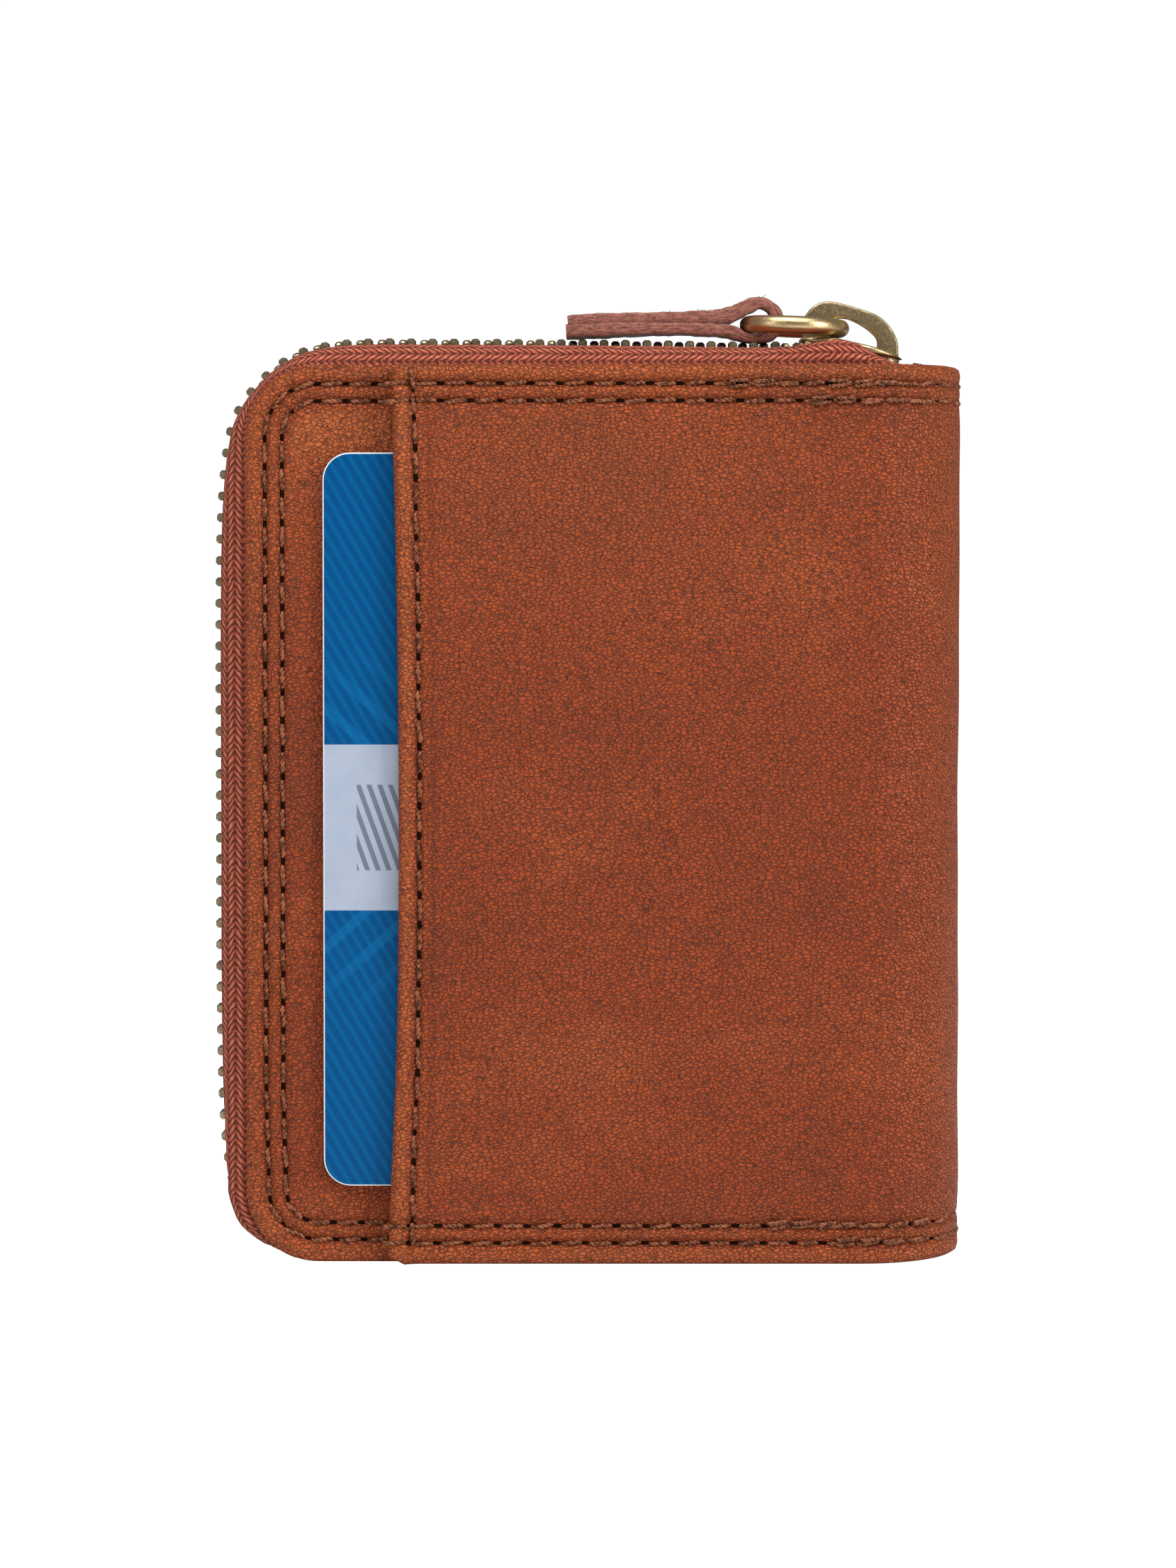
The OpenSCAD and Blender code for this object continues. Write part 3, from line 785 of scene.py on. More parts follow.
# %% A panel from its pattern
def u_path(left, radius, right, inset, step):
    """Points and outward normals from the top right corner round the zip side to the bottom right corner."""
    r = max(radius - inset, 0.0)
    corner = max(radius, inset)
    points, normals = [], []
    top = np.arange(right, left + corner, -step)
    for u in top:
        points.append((u, height - inset))
        normals.append((0, 1))
    arc = max(int(r * math.pi / 2 / step), 1 if r == 0 else 4)
    for k in range(arc + 1):
        a = math.pi / 2 * (1 + k / arc)
        points.append((left + corner + r * math.cos(a), height - corner + r * math.sin(a)))
        normals.append((math.cos(a), math.sin(a)))
        if r == 0:
            break
    for z in np.arange(height - corner - step, corner + step / 2, -step):
        points.append((left + inset, z))
        normals.append((-1, 0))
    for k in range(arc + 1):
        a = math.pi / 2 * (2 + k / arc)
        points.append((left + corner + r * math.cos(a), corner + r * math.sin(a)))
        normals.append((math.cos(a), math.sin(a)))
        if r == 0:
            break
    for u in top[::-1]:
        if u > left + corner + step / 2:
            points.append((u, inset))
            normals.append((0, -1))
    return np.array(points), np.array(normals)


RINGS = (
    1.0, 1.3, 1.65, 1.9, 2.08, 2.3, 2.52, 2.7, 2.95, 3.3, 3.65, 3.9, 4.1, 4.3, 4.5, 4.72, 5.1, 5.7, 6.5,
    7.4,
)


def leather_panel(name, left, radius, right, side, top_height, under_height, bow=None):
    """A closed panel of leather on one side of the wallet: its faces, its rolled edge, and its wear and
    painted light.
    """
    step, grid, reach = 0.62, 1.3, 1.0
    edge, normals = u_path(left, radius, right, RINGS[0], step)
    seam_z = sorted(
        {
            *RINGS[1:],
            *(height - r for r in RINGS[1:]),
            *np.arange(RINGS[-1] + grid, height - RINGS[-1] - grid / 2, grid),
        }
    )
    seam = np.array([(right, z) for z in seam_z])
    outline = np.vstack([edge, seam])
    loose = []
    for inset in RINGS[1:]:
        ring, _ = u_path(left, radius, right - step, inset, step)
        loose.append(ring)
    start = left + RINGS[-1] + grid
    us = np.linspace(start, right - grid, max(int((right - grid - start) / grid), 2))
    zs = np.arange(RINGS[-1] + grid, height - RINGS[-1] - grid / 2, grid)
    loose.append(np.array([(u, z) for u in us for z in zs]))
    pattern = np.vstack([outline, *loose])
    shown, _, faces, origin, _, _ = geometry.delaunay_2d_cdt(
        [Vector(p) for p in pattern],
        [],
        [list(range(len(outline)))],
        1,
        1e-4,
    )
    index = {o: i for i, found in enumerate(origin) for o in found}
    flat = np.array([(p.x, p.y) for p in shown])
    n = len(flat)

    def place(uv, w):
        shifted = uv[:, 0] + (bow(uv[:, 0], uv[:, 1]) if bow else 0)
        return on_cover(side, shifted, uv[:, 1], w)

    top_w, under_w = top_height(flat[:, 0], flat[:, 1]), under_height(flat[:, 0], flat[:, 1])
    points = [place(flat, top_w), place(flat, under_w)]
    all_faces = [tuple(f) for f in faces] + [tuple(i + n for i in reversed(f)) for f in faces]
    steps = 7
    fullness = 0.65
    first = 2 * n
    edge_top = top_height(edge[:, 0], edge[:, 1])
    edge_under = under_height(edge[:, 0], edge[:, 1])
    for k in range(1, steps):
        a = math.pi * k / steps
        uv = edge + normals * reach * math.sin(a) ** fullness
        points.append(place(uv, (edge_top + edge_under) / 2 + (edge_top - edge_under) / 2 * math.cos(a)))
    m = len(edge)

    def roll(k, i):
        if k == 0:
            return index[i]
        return index[i] + n if k == steps else first + (k - 1) * m + i

    for i in range(m - 1):
        for k in range(steps):
            all_faces.append((roll(k, i), roll(k + 1, i), roll(k + 1, i + 1), roll(k, i + 1)))
    closing = [index[m - 1]] + [index[m + i] for i in range(len(seam))] + [index[0]]
    for a, b in zip(closing, closing[1:]):
        all_faces.append((a, a + n, b + n, b))
    all_faces.append(tuple(roll(k, 0) for k in range(steps + 1)))
    all_faces.append(tuple(roll(k, m - 1) for k in range(steps, -1, -1)))
    if side > 0:
        all_faces = [tuple(reversed(f)) for f in all_faces]
    points = np.vstack(points)
    panel = mesh_object(name, points, all_faces, tan_leather)
    panel.data.set_sharp_from_angle(angle=math.radians(65))
    d = edge_distance(flat[:, 0], flat[:, 1], left, radius)
    wear = panel.data.attributes.new("wear", "FLOAT", "POINT")
    # The outer half of the rolled edge is worn lighter, and the half turned under takes painted shade.
    rubbed_edge, painted_shade_under_edge = 0.7, -0.8
    values = np.zeros(len(points), np.float32)
    values[:n] = wear_and_painted_light(flat[:, 0], flat[:, 1], d, left, side)
    for k in range(1, steps):
        values[first + (k - 1) * m : first + k * m] = rubbed_edge if k <= steps // 2 else painted_shade_under_edge
    wear.data.foreach_set("value", values)
    print(name, len(panel.data.polygons), "faces")
    return panel


def wear_and_painted_light(u, z, d, left, side):
    """Real wear and painted light: above 0 the leather is lighter from worn wax and painted highlights, and
    below 0 it takes painted shade.
    """
    d = row_distance(d, z)
    crest = 0.75 * hill(d, 1.0, 0.8) + 0.3 * hill(d, 3.3, 0.5)
    # Painted shade: the leather is darkened in the two stitch grooves.
    groove = 0.5 * hill(d, seams[0], 0.3) + 0.5 * hill(d, seams[1], 0.3)
    # Lighter towards the spine, where the leather is stretched round it, with a painted highlight there too.
    spine = 0.5 * smooth_step(34, 44, u)
    # Painted light: the upper part, most of all near the zip side, is lighter as if lit from above.
    upper = 0.3 * smooth_step(55, 98, z) * (1 - smooth_step(10, 40, u)) + 0.2 * smooth_step(70, 100, z)
    # Painted sheen: the leather is lighter along the foot.
    foot = 0.3 * (1 - smooth_step(2.5, 9, z))
    painted_shelf_sheen, mouth = 0, 0
    if side < 0:
        beside_pocket = 1 - smooth_step(mouth_x - 1, mouth_x + 1, u)
        # Painted sheen: a light band along the top of the base strip beside the pocket.
        painted_shelf_sheen = 1.5 * hill(z, height - 7.5, 3.6) * beside_pocket * smooth_step(4.6, 6.5, d)
    if left > edge_x + 1:
        # The pocket's mouth bead is worn lighter, and its hem row takes painted shade.
        mouth = 0.8 * hill(u - left, 1.1, 0.9) - 0.4 * hill(u - left, hem_row_in, 0.3)
    return crest - groove + spine + upper + foot + painted_shelf_sheen + mouth


# %% Cover, pocket and base panels
def rim_under(u, z):
    d = edge_distance(u, z, edge_x, corner_r)
    return rim_in + (pad_in - rim_in) * smooth_step(4.8, 6.4, d)


def pocket_under(u, z):
    d = np.minimum(z, height - z)
    thick_rim = smooth_step(1.0, 3.5, u - mouth_left) * (1 - smooth_step(4.8, 6.4, d))
    return pocket_in - (pocket_in - rim_in) * thick_rim


def base_under(u, z):
    return base_in + 0 * u


front_cover = leather_panel(
    "front_cover_leather", edge_x, corner_r, spine_mid, 1, cover_height, rim_under
)
base_cover = leather_panel("base_leather", edge_x, corner_r, mouth_x + 8, -1, base_height, base_under)
pocket_cover = leather_panel(
    "pocket_leather", mouth_left, 0.6, spine_mid, -1, pocket_height, pocket_under, mouth_bow
)

# %% [markdown]
# The covers hinge at two lines beside the spine. Here the front cover, the pocket and the rows sewn on
# them have their placement baked into their points and join no body, and the base panel is attached to
# the back half.


def follow_back(piece):
    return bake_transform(piece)


def follow_front(piece):
    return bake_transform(piece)


follow_front(front_cover)
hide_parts("front_leather")
follow_back(pocket_cover)
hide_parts("pocket_panel", "spine_leather")
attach(base_cover, "back_half")
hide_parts("base_panel")

# %% [markdown]
# ## Stitches
# Every seam on the wallet is a row of short twisted stitches with a needle hole between each two. One
# stitch is modelled as two strands wound round each other, and a Geometry Nodes tree sets it along a
# guide line: it turns the line into a curve, puts evenly spaced points on it, and instances the stitch on
# them. Each guide point carries the direction that faces away from the leather, which keeps the stitches
# lying on it round corners and the spine.

# %% Geometry Nodes tree for whatever follows a line
follow_tree = bpy.data.node_groups.new("pieces_along_a_line", "GeometryNodeTree")
sockets = {}
for label, kind, value in (
    ("Line", "NodeSocketGeometry", None),
    ("Piece", "NodeSocketObject", None),
    ("Spacing", FLOAT, 0.0033),
    ("Slant", FLOAT, 0.0),
    ("Slant jitter", FLOAT, 0.0),
    ("Size jitter", FLOAT, 0.0),
    ("Seed", "NodeSocketInt", 0),
    ("Material", "NodeSocketMaterial", None),
):
    socket = follow_tree.interface.new_socket(label, in_out="INPUT", socket_type=kind)
    if value is not None:
        socket.default_value = value
    sockets[label] = socket.identifier
follow_tree.interface.new_socket("Pieces", in_out="OUTPUT", socket_type="NodeSocketGeometry")
f_in, f_out = follow_tree.nodes.new("NodeGroupInput"), follow_tree.nodes.new("NodeGroupOutput")
curve = add_node(follow_tree, "GeometryNodeMeshToCurve", {"Mesh": f_in.outputs["Line"]})
spots = add_node(
    follow_tree,
    "GeometryNodeCurveToPoints",
    {"Curve": curve.outputs[0], "Length": f_in.outputs["Spacing"]},
    mode="LENGTH",
)
outward = add_node(
    follow_tree,
    "GeometryNodeInputNamedAttribute",
    {"Name": "outward"},
    data_type="FLOAT_VECTOR",
)
stand = add_node(
    follow_tree,
    "FunctionNodeAlignRotationToVector",
    {"Vector": outward.outputs["Attribute"]},
    axis="Z",
)
point_on = add_node(
    follow_tree,
    "FunctionNodeAlignRotationToVector",
    {"Rotation": stand.outputs[0], "Vector": spots.outputs["Tangent"]},
    axis="X",
    pivot_axis="Z",
)
shake = add_node(
    follow_tree,
    "FunctionNodeRandomValue",
    {"Seed": f_in.outputs["Seed"]},
    data_type="FLOAT",
)
shake.inputs[2].default_value, shake.inputs[3].default_value = -1.0, 1.0
slant = add_node(
    follow_tree,
    "ShaderNodeMath",
    {0: shake.outputs[1], 1: f_in.outputs["Slant jitter"], 2: f_in.outputs["Slant"]},
    operation="MULTIPLY_ADD",
)
spin = add_node(
    follow_tree,
    "FunctionNodeAxisAngleToRotation",
    {"Axis": (0, 0, 1), "Angle": slant.outputs[0]},
)
turned = add_node(
    follow_tree,
    "FunctionNodeRotateRotation",
    {"Rotation": point_on.outputs[0], "Rotate By": spin.outputs[0]},
    rotation_space="LOCAL",
)
grow = add_node(
    follow_tree,
    "ShaderNodeMath",
    {0: shake.outputs[1], 1: f_in.outputs["Size jitter"], 2: 1.0},
    operation="MULTIPLY_ADD",
)
picked = add_node(follow_tree, "GeometryNodeObjectInfo", {"Object": f_in.outputs["Piece"]})
laid = add_node(
    follow_tree,
    "GeometryNodeInstanceOnPoints",
    {
        "Points": spots.outputs["Points"],
        "Instance": picked.outputs["Geometry"],
        "Rotation": turned.outputs[0],
        "Scale": grow.outputs[0],
    },
)
real = add_node(follow_tree, "GeometryNodeRealizeInstances", {"Geometry": laid.outputs[0]})
finish_node = add_node(
    follow_tree,
    "GeometryNodeSetMaterial",
    {"Geometry": real.outputs[0], "Material": f_in.outputs["Material"]},
)
follow_tree.links.new(finish_node.outputs[0], f_out.inputs[0])
print("line tree has", len(follow_tree.nodes), "nodes")


def line_guide(name, lines):
    """A mesh of loose edges from lists of (points, outward directions), in millimetres."""
    points, edges, outs = [], [], []
    for line, out in lines:
        first = len(points)
        points += [tuple(np.array(p) * mm) for p in line]
        outs += [tuple(o) for o in out]
        edges += [(first + i, first + i + 1) for i in range(len(line) - 1)]
    mesh = bpy.data.meshes.new(name)
    mesh.from_pydata(points, edges, [])
    field = mesh.attributes.new("outward", "FLOAT_VECTOR", "POINT")
    field.data.foreach_set("vector", np.array(outs, np.float32).ravel())
    guide = bpy.data.objects.new(name, mesh)
    bpy.context.scene.collection.objects.link(guide)
    return guide


def lay_along(
    name,
    lines,
    piece,
    spacing,
    material,
    slant=0.0,
    slant_jitter=0.0,
    size_jitter=0.0,
    seed=1,
    smooth=True,
):
    guide = line_guide(name + "_guide", lines)
    modifier = guide.modifiers.new("along", "NODES")
    modifier.node_group = follow_tree
    settings = {
        "Piece": piece, "Spacing": spacing * mm, "Slant": slant, "Slant jitter": slant_jitter,
        "Size jitter": size_jitter, "Seed": seed, "Material": material,
    }
    for label, value in settings.items():
        modifier[sockets[label]] = value
    bpy.context.view_layer.update()
    ready = guide.evaluated_get(bpy.context.evaluated_depsgraph_get())
    mesh = bpy.data.meshes.new_from_object(ready)
    mesh.name = name
    result = bpy.data.objects.new(name, mesh)
    bpy.context.scene.collection.objects.link(result)
    guide.modifiers.clear()
    bpy.data.objects.remove(guide)
    mesh.polygons.foreach_set("use_smooth", [smooth] * len(mesh.polygons))
    print(name, len(mesh.polygons), "faces")
    return result


# %% One stitch and one needle hole
def tube_points(centres, radius, sides):
    """Rings of a thin tube along the centres."""
    centres = np.array(centres, float)
    rings = []
    for i, c in enumerate(centres):
        t = centres[min(i + 1, len(centres) - 1)] - centres[max(i - 1, 0)]
        t = t / np.linalg.norm(t)
        a = np.cross(t, (0, 1, 0.01))
        a = a / np.linalg.norm(a)
        b = np.cross(t, a)
        turns = np.arange(sides) * math.tau / sides
        rings.append([c + radius * (math.cos(q) * a + math.sin(q) * b) for q in turns])
    return rings


def skin_rings(rings):
    """Points and faces of a closed skin over a row of rings, with an end cap on the first and the last."""
    points = [p for ring in rings for p in ring]
    sides, count = len(rings[0]), len(rings)
    faces = []
    for i in range(count - 1):
        for k in range(sides):
            a, b = i * sides + k, i * sides + (k + 1) % sides
            c, d = (i + 1) * sides + (k + 1) % sides, (i + 1) * sides + k
            faces.append((a, d, c, b))
    faces.append(tuple(range(sides)))
    faces.append(tuple((count - 1) * sides + k for k in reversed(range(sides))))
    return points, faces


def stitch_piece(name, length, thick, turns=2.3):
    """Two strands wound round each other that dive into the leather at both ends."""
    points, faces = [], []
    for strand in (0, math.pi):
        centres = []
        for t in np.linspace(-1, 1, 9):
            a = strand + turns * math.pi * t
            fall = -1.25 * thick * t**6
            centres.append(
                (t * length / 2, 0.26 * thick * math.cos(a), 0.26 * thick * math.sin(a) + fall + 0.1)
            )
        p, f = skin_rings(tube_points(centres, 0.31 * thick, 4))
        faces += [tuple(i + len(points) for i in face) for face in f]
        points += p
    piece = mesh_object(name, points, faces, thread_brown)
    piece.hide_render = True
    return piece


def hole_piece(name, length, width, depth):
    """A needle hole: an oval pit with a low rim, coloured near black as a painted shade."""
    turns = np.arange(8) * math.tau / 8
    rings = []
    for r, z in ((0.05, depth * 0.1), (0.6, depth * 0.1), (1.0, 0.0), (0.6, -depth), (0.05, -depth)):
        half_length, half_width = r * length / 2, r * width / 2
        rings.append([(half_length * math.cos(a), half_width * math.sin(a), z) for a in turns])
    points, faces = skin_rings(rings[::-1])
    piece = mesh_object(name, points, faces, painted_hole_shade)
    piece.hide_render = True
    return piece


stitch = stitch_piece("stitch_pattern", 2.8, 0.62)
small_stitch = stitch_piece("small_stitch_pattern", 2.4, 0.5)
hole = hole_piece("hole_pattern", 0.95, 0.72, 0.5)
print("stitch has", len(stitch.data.polygons), "faces")

# %% [markdown]
# The rows follow the pattern of the leather at a set distance from its edge. Each row is cut where one
# panel ends and the next begins, because a row moves with the leather that it is sewn through. Near the
# spine the seam runs back over itself a few times to lock the thread, which gives the doubled stitches
# there.

# %% Rows on the pattern
lift, pulled_in = 0.16, 0.32


def row_line(side, uz, surface, lift, bow=None):
    """A row's points on a cover and their outward directions. Thread is pulled deeper round the spine."""
    uz = np.array(uz, float)
    w = surface(uz[:, 0], uz[:, 1]) + lift - pulled_in * (1 - spine_flat(uz[:, 0]))
    u = uz[:, 0] + (bow(uz[:, 0], uz[:, 1]) if bow else 0)
    turn = np.maximum(u - bend_x, 0) / half_t
    out = np.stack([np.sin(turn), side * np.cos(turn), 0 * turn], axis=-1)
    return on_cover(side, u, uz[:, 1], w), out


def rim_row(inset, left, radius, right):
    """The row round the zip side, from the top right to the bottom right."""
    points = u_path(left, radius, right, inset, 0.5)[0]
    shift = seam_shift(points[:, 1])
    low = points[:, 1] < height / 2
    centre = np.array((left + radius, radius))
    for i in np.where(low)[0]:
        if points[i][0] < left + radius and points[i][1] < radius:
            ray = points[i] - centre
            points[i] = centre + ray * (1 - shift[i] / max(np.linalg.norm(ray), 1e-6))
        elif points[i][1] <= inset + 1e-6:
            points[i][1] += shift[i]
        else:
            points[i][0] += shift[i]
    return points


def straight_row(z, u0, u1, drift=0.0):
    """A row from u0 to u1 with a hand's slight wander, which drifts up by drift on its way."""
    us = np.arange(u0, u1, 0.5)
    t = (us - u0) / max(u1 - u0, 1e-6)
    return np.stack([us, z + drift * t + 0.06 * np.sin(us * 0.9 + z)], axis=-1)


def at_lengths(want, length, values):
    return np.stack([np.interp(want, length, values[:, k]) for k in range(3)], axis=-1)


def sewn(name, lines, seed, follow, nodes, between=True, piece=None, spacing=3.3):
    """Stitches along each line, cut to a whole number of them, with needle holes between."""
    whole, half = [], []
    for line, out in lines:
        line, out = np.array(line), np.array(out)
        length = np.concatenate([[0], np.cumsum(np.linalg.norm(np.diff(line, axis=0), axis=1))])
        count = int(length[-1] / spacing)
        for kept, first, last in ((whole, 0, count), (half, 0.5, count - 0.5)):
            want = np.linspace(first * spacing, (last + 0.01) * spacing, 6 * count)
            kept.append(tuple(at_lengths(want, length, values) for values in (line, out)))
    loose = {"slant": 0.1, "slant_jitter": 0.05, "size_jitter": 0.05, "seed": seed}
    thread = lay_along(name, whole, piece or stitch, spacing, thread_brown, **loose)
    follow(thread)
    if nodes:
        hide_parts(*nodes)
    if between:
        sunk = [(line - 0.02 * out, out) for line, out in half]
        loose = {"slant": 0.1, "slant_jitter": 0.2, "size_jitter": 0.18, "seed": seed + 50}
        holes = lay_along(name + "_holes", sunk, hole, spacing, painted_hole_shade, **loose)
        follow(holes)


def ride_back(piece):
    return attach(piece, "back_half")


# %% Sew the rows
base_rows = []
for s in seams:
    row = rim_row(s, edge_x, corner_r, mouth_left - 0.3)
    base_rows.append(row_line(-1, row, base_height, lift))
sewn("base_stitches", base_rows, 3, ride_back, [])
pocket_rows = []
for z in [height - s for s in seams] + [s + seam_shift(s) for s in seams]:
    row = straight_row(z, mouth_left + 0.7, spine_mid - 0.3)
    pocket_rows.append(row_line(-1, row, pocket_height, lift, mouth_bow))
sewn("pocket_stitches", pocket_rows, 7, follow_back, ["back_rim_thread", "spine_thread"])
front_rows = []
for s in seams:
    row = rim_row(s, edge_x, corner_r, spine_mid - 0.3)
    front_rows.append(row_line(1, row, cover_height, lift))
sewn("front_stitches", front_rows, 11, follow_front, ["front_rim_thread"])
back_tacks = []
tacked = (
    (height - seams[0], 17.5, 29),
    (height - seams[0], 29, 41),
    (height - seams[1], 27, 42),
    (seams[1] + 0.45, 22, 40),
    (seams[0] + 0.5, 30, 42),
)
for z, u0, u1 in tacked:
    for shift_z, drift in ((0.34, -0.5), (-0.3, 0.42)):
        back_tacks.append(
            row_line(-1, straight_row(z + shift_z, u0, u1, drift), pocket_height, lift + 0.16)
        )
sewn(
    "back_tack_stitches",
    back_tacks,
    23,
    follow_back,
    [],
    between=False,
    piece=small_stitch,
    spacing=2.9,
)
hem_u = mouth_left + hem_row_in
hem_z = np.arange(height - 1.65, 1.4, -0.5)
hem_row = np.stack([hem_u + 0.1 * np.sin(hem_z * 0.35), hem_z], axis=-1)
hem_line = row_line(-1, hem_row, pocket_height, lift, mouth_bow)
sewn("hem_stitches", [hem_line], 31, ride_back, ["pocket_hem_thread"], spacing=3.35)

# %% [markdown]
# ## The zip
# The zip is two woven tapes with a row of metal teeth on each. The tapes come out from between the
# leather edges, bulge away from the wallet and meet the teeth in the middle. The path of the teeth is the
# CAD model's: it stands about two millimetres over the top, three at the side, and dips to nothing at the
# foot so that the wallet can stand. The tape is lofted, a cross-section at each place along the path,
# since its section changes on the way.

# %% The zip's path
bulge, tape_t, tape_out, slider_l, slider_w = 3.0, 0.5, 8.05, 12.4, 8.8
tilt = math.radians(10)
slope = math.tan(tilt)
zip_end_x = bend_x + 7.5
slider_x = spine_x - 13.15
run = zip_end_x - edge_x - corner_r
arc_l = corner_r * math.pi / 2
side_l = height - 2 * corner_r
corner_1, corner_2 = run + arc_l / 2, run + 1.5 * arc_l + side_l
zip_l = 2 * run + 2 * arc_l + side_l
slider_s, tail_d = zip_end_x - slider_x, 1.75
slider_d = tail_d - slope * slider_l / 2
rise = [
    (-5, slider_d - slope * (slider_s + 5)),
    (0, slider_d - slope * slider_s),
    (slider_s, slider_d),
    (slider_s + slider_l / 2, tail_d),
    (slider_s + slider_l / 2 + 7, tail_d + 0.12),
    (run * 0.55, 2.1),
    (run * 0.8, 2.2),
    (run - 3, 2.1),
    (corner_1, 0.75),
    (run + arc_l + 3, bulge - 0.7),
    (run + arc_l + 14, bulge - 0.1),
    (run + arc_l + side_l / 2, bulge),
    (run + arc_l + side_l - 14, bulge - 0.1),
    (run + arc_l + side_l - 3, bulge - 0.8),
    (corner_2, 0.1),
    (corner_2 + arc_l / 4, -0.85),
    (corner_2 + arc_l / 2, -1.55),
    (corner_2 + arc_l / 2 + 6, -1.7),
    (zip_l, -1.7),
    (zip_l + 5, -1.7),
]


def teeth_rise(s):
    """How far the teeth stand outside the leather's edge at s along it: a smooth curve through rise."""
    i = 1
    while s >= rise[i + 1][0] and i < len(rise) - 3:
        i += 1
    (a, b), h = (rise[i][1], rise[i + 1][1]), rise[i + 1][0] - rise[i][0]
    ma, mb = ((rise[k + 1][1] - rise[k - 1][1]) / (rise[k + 1][0] - rise[k - 1][0]) for k in (i, i + 1))
    t = (s - rise[i][0]) / h
    places = (2 * t**3 - 3 * t**2 + 1) * a + (3 * t**2 - 2 * t**3) * b
    return places + (t**3 - 2 * t**2 + t) * h * ma + (t**3 - t**2) * h * mb


def zip_place(s, d):
    """The point d outside the leather's edge at s along it, and the outward direction there."""
    mid = edge_x + corner_r
    if s < run:
        p, a = (zip_end_x - s, height), math.pi / 2
    elif s < run + arc_l:
        a = math.pi / 2 * (1 + (s - run) / arc_l)
        p = (mid + corner_r * math.cos(a), height - corner_r + corner_r * math.sin(a))
    elif s < run + arc_l + side_l:
        p, a = (edge_x, height - corner_r - (s - run - arc_l)), math.pi
    elif s < run + 2 * arc_l + side_l:
        a = math.pi / 2 * (2 + (s - run - arc_l - side_l) / arc_l)
        p = (mid + corner_r * math.cos(a), corner_r + corner_r * math.sin(a))
    else:
        p, a = (mid + s - run - 2 * arc_l - side_l, 0), math.pi * 1.5
    n = (math.cos(a), math.sin(a))
    return (p[0] + d * n[0], p[1] + d * n[1]), n


chain_s = np.linspace(0, zip_l, 900)
chain_xz = np.array([zip_place(s, teeth_rise(s))[0] for s in chain_s])
chain_run = np.concatenate([[0], np.cumsum(np.linalg.norm(np.diff(chain_xz, axis=0), axis=1))])


def chain_at(s):
    """The length along the teeth at the place that is s along the leather's edge."""
    return float(np.interp(s, chain_s, chain_run))


print(
    "zip is",
    round(zip_l, 1),
    "mm along the leather and",
    round(chain_run[-1], 1),
    "mm along its teeth",
)


# %% Tapes
def tape_section(s):
    """Heights over the edge and distances from the middle, from the sewn edge to the teeth."""
    d = teeth_rise(s)
    x = zip_place(s, 0)[0][0]
    wall = math.sqrt(max((half_t - 1.5) ** 2 - (x - bend_x) ** 2, 1)) if x > bend_x else tape_out
    w, flat, low = min(tape_out, wall), slider_w / 2 + 0.4, -0.5
    keys = [(-5.5, w), (-2.5, w)]
    for up, inward in ((0, 0), (0.35, 0.12), (0.72, 0.38), (0.93, 0.7)):
        keys.append((low + up * (d - low), w - inward * (w - flat)))
    keys += [(d, flat), (d, 3.2), (d, 1.5)]
    return np.array(keys)


def smooth_line(keys, per=4):
    """A smooth curve through the keys, with so many points from each to the next."""
    keys = np.asarray(keys, float)
    ext = np.vstack([2 * keys[0] - keys[1], keys, 2 * keys[-1] - keys[-2]])
    out = []
    for i in range(1, len(ext) - 2):
        for t in np.arange(per) / per:
            p0, p1, p2, p3 = ext[i - 1 : i + 3]
            square, cube = 2 * p0 - 5 * p1 + 4 * p2 - p3, 3 * p1 - p0 - 3 * p2 + p3
            out.append(0.5 * (2 * p1 + (p2 - p0) * t + square * t**2 + cube * t**3))
    out.append(keys[-1])
    return np.array(out)


def pucker(s, x):
    """The tape stands up beside the slider, where the slider pushes it aside."""
    beside = math.exp(-(((x - 30.0) / (4.6 if x < 30 else 5.4)) ** 2)) if s < run else 0
    corner = math.exp(-(((s - corner_2 + 1.5) / 8.5) ** 2))
    return 2.0 * beside + 1.15 * corner + 0.06 * math.sin(s * 1.9) + 0.05 * math.sin(s * 0.83 + 1)


def tape(name, side, body, node):
    """One tape, lofted from its section at each station along the edge, with a map in millimetres."""
    stations = np.concatenate([np.arange(0, zip_l, 0.9), [zip_l]])
    rings, maps = [], []
    for s in stations:
        line = smooth_line(tape_section(s))
        (x, _), _ = zip_place(s, 0)
        hump = smooth_step(-1.2, 0.6, line[:, 0])
        hump = hump * smooth_step(slider_w / 2 + 0.35, slider_w / 2 + 1.6, line[:, 1])
        line[:, 0] += pucker(s, x) * hump
        tangent = np.gradient(line, axis=0)
        tangent /= np.linalg.norm(tangent, axis=1)[:, None]
        normal = np.stack([tangent[:, 1], -tangent[:, 0]], axis=-1)
        across = np.concatenate([[0], np.cumsum(np.linalg.norm(np.diff(line, axis=0), axis=1))])
        outer, inner = line - normal * tape_t / 2, line + normal * tape_t / 2
        ring = []
        for h, y in np.vstack([outer, inner[::-1]]):
            (px, pz), _ = zip_place(s, h)
            ring.append((px, side * y, pz))
        rings.append(ring)
        maps.append(np.concatenate([across, across[::-1]]))
    points, faces = skin_rings(rings)
    if side < 0:
        faces = [tuple(reversed(f)) for f in faces]
    piece = mesh_object(name, points, faces, tape_cloth)
    layer = piece.data.uv_layers.new(name="UVMap")
    sides = len(rings[0])
    index = np.zeros(len(piece.data.loops), np.int32)
    piece.data.loops.foreach_get("vertex_index", index)
    uv = np.array(
        [(chain_at(stations[i // sides]), maps[i // sides][i % sides]) for i in range(len(points))]
    )
    layer.data.foreach_set("uv", uv[index].astype(np.float32).ravel())
    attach(piece, body)
    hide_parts(node)
    print(name, len(piece.data.polygons), "faces")
    return piece


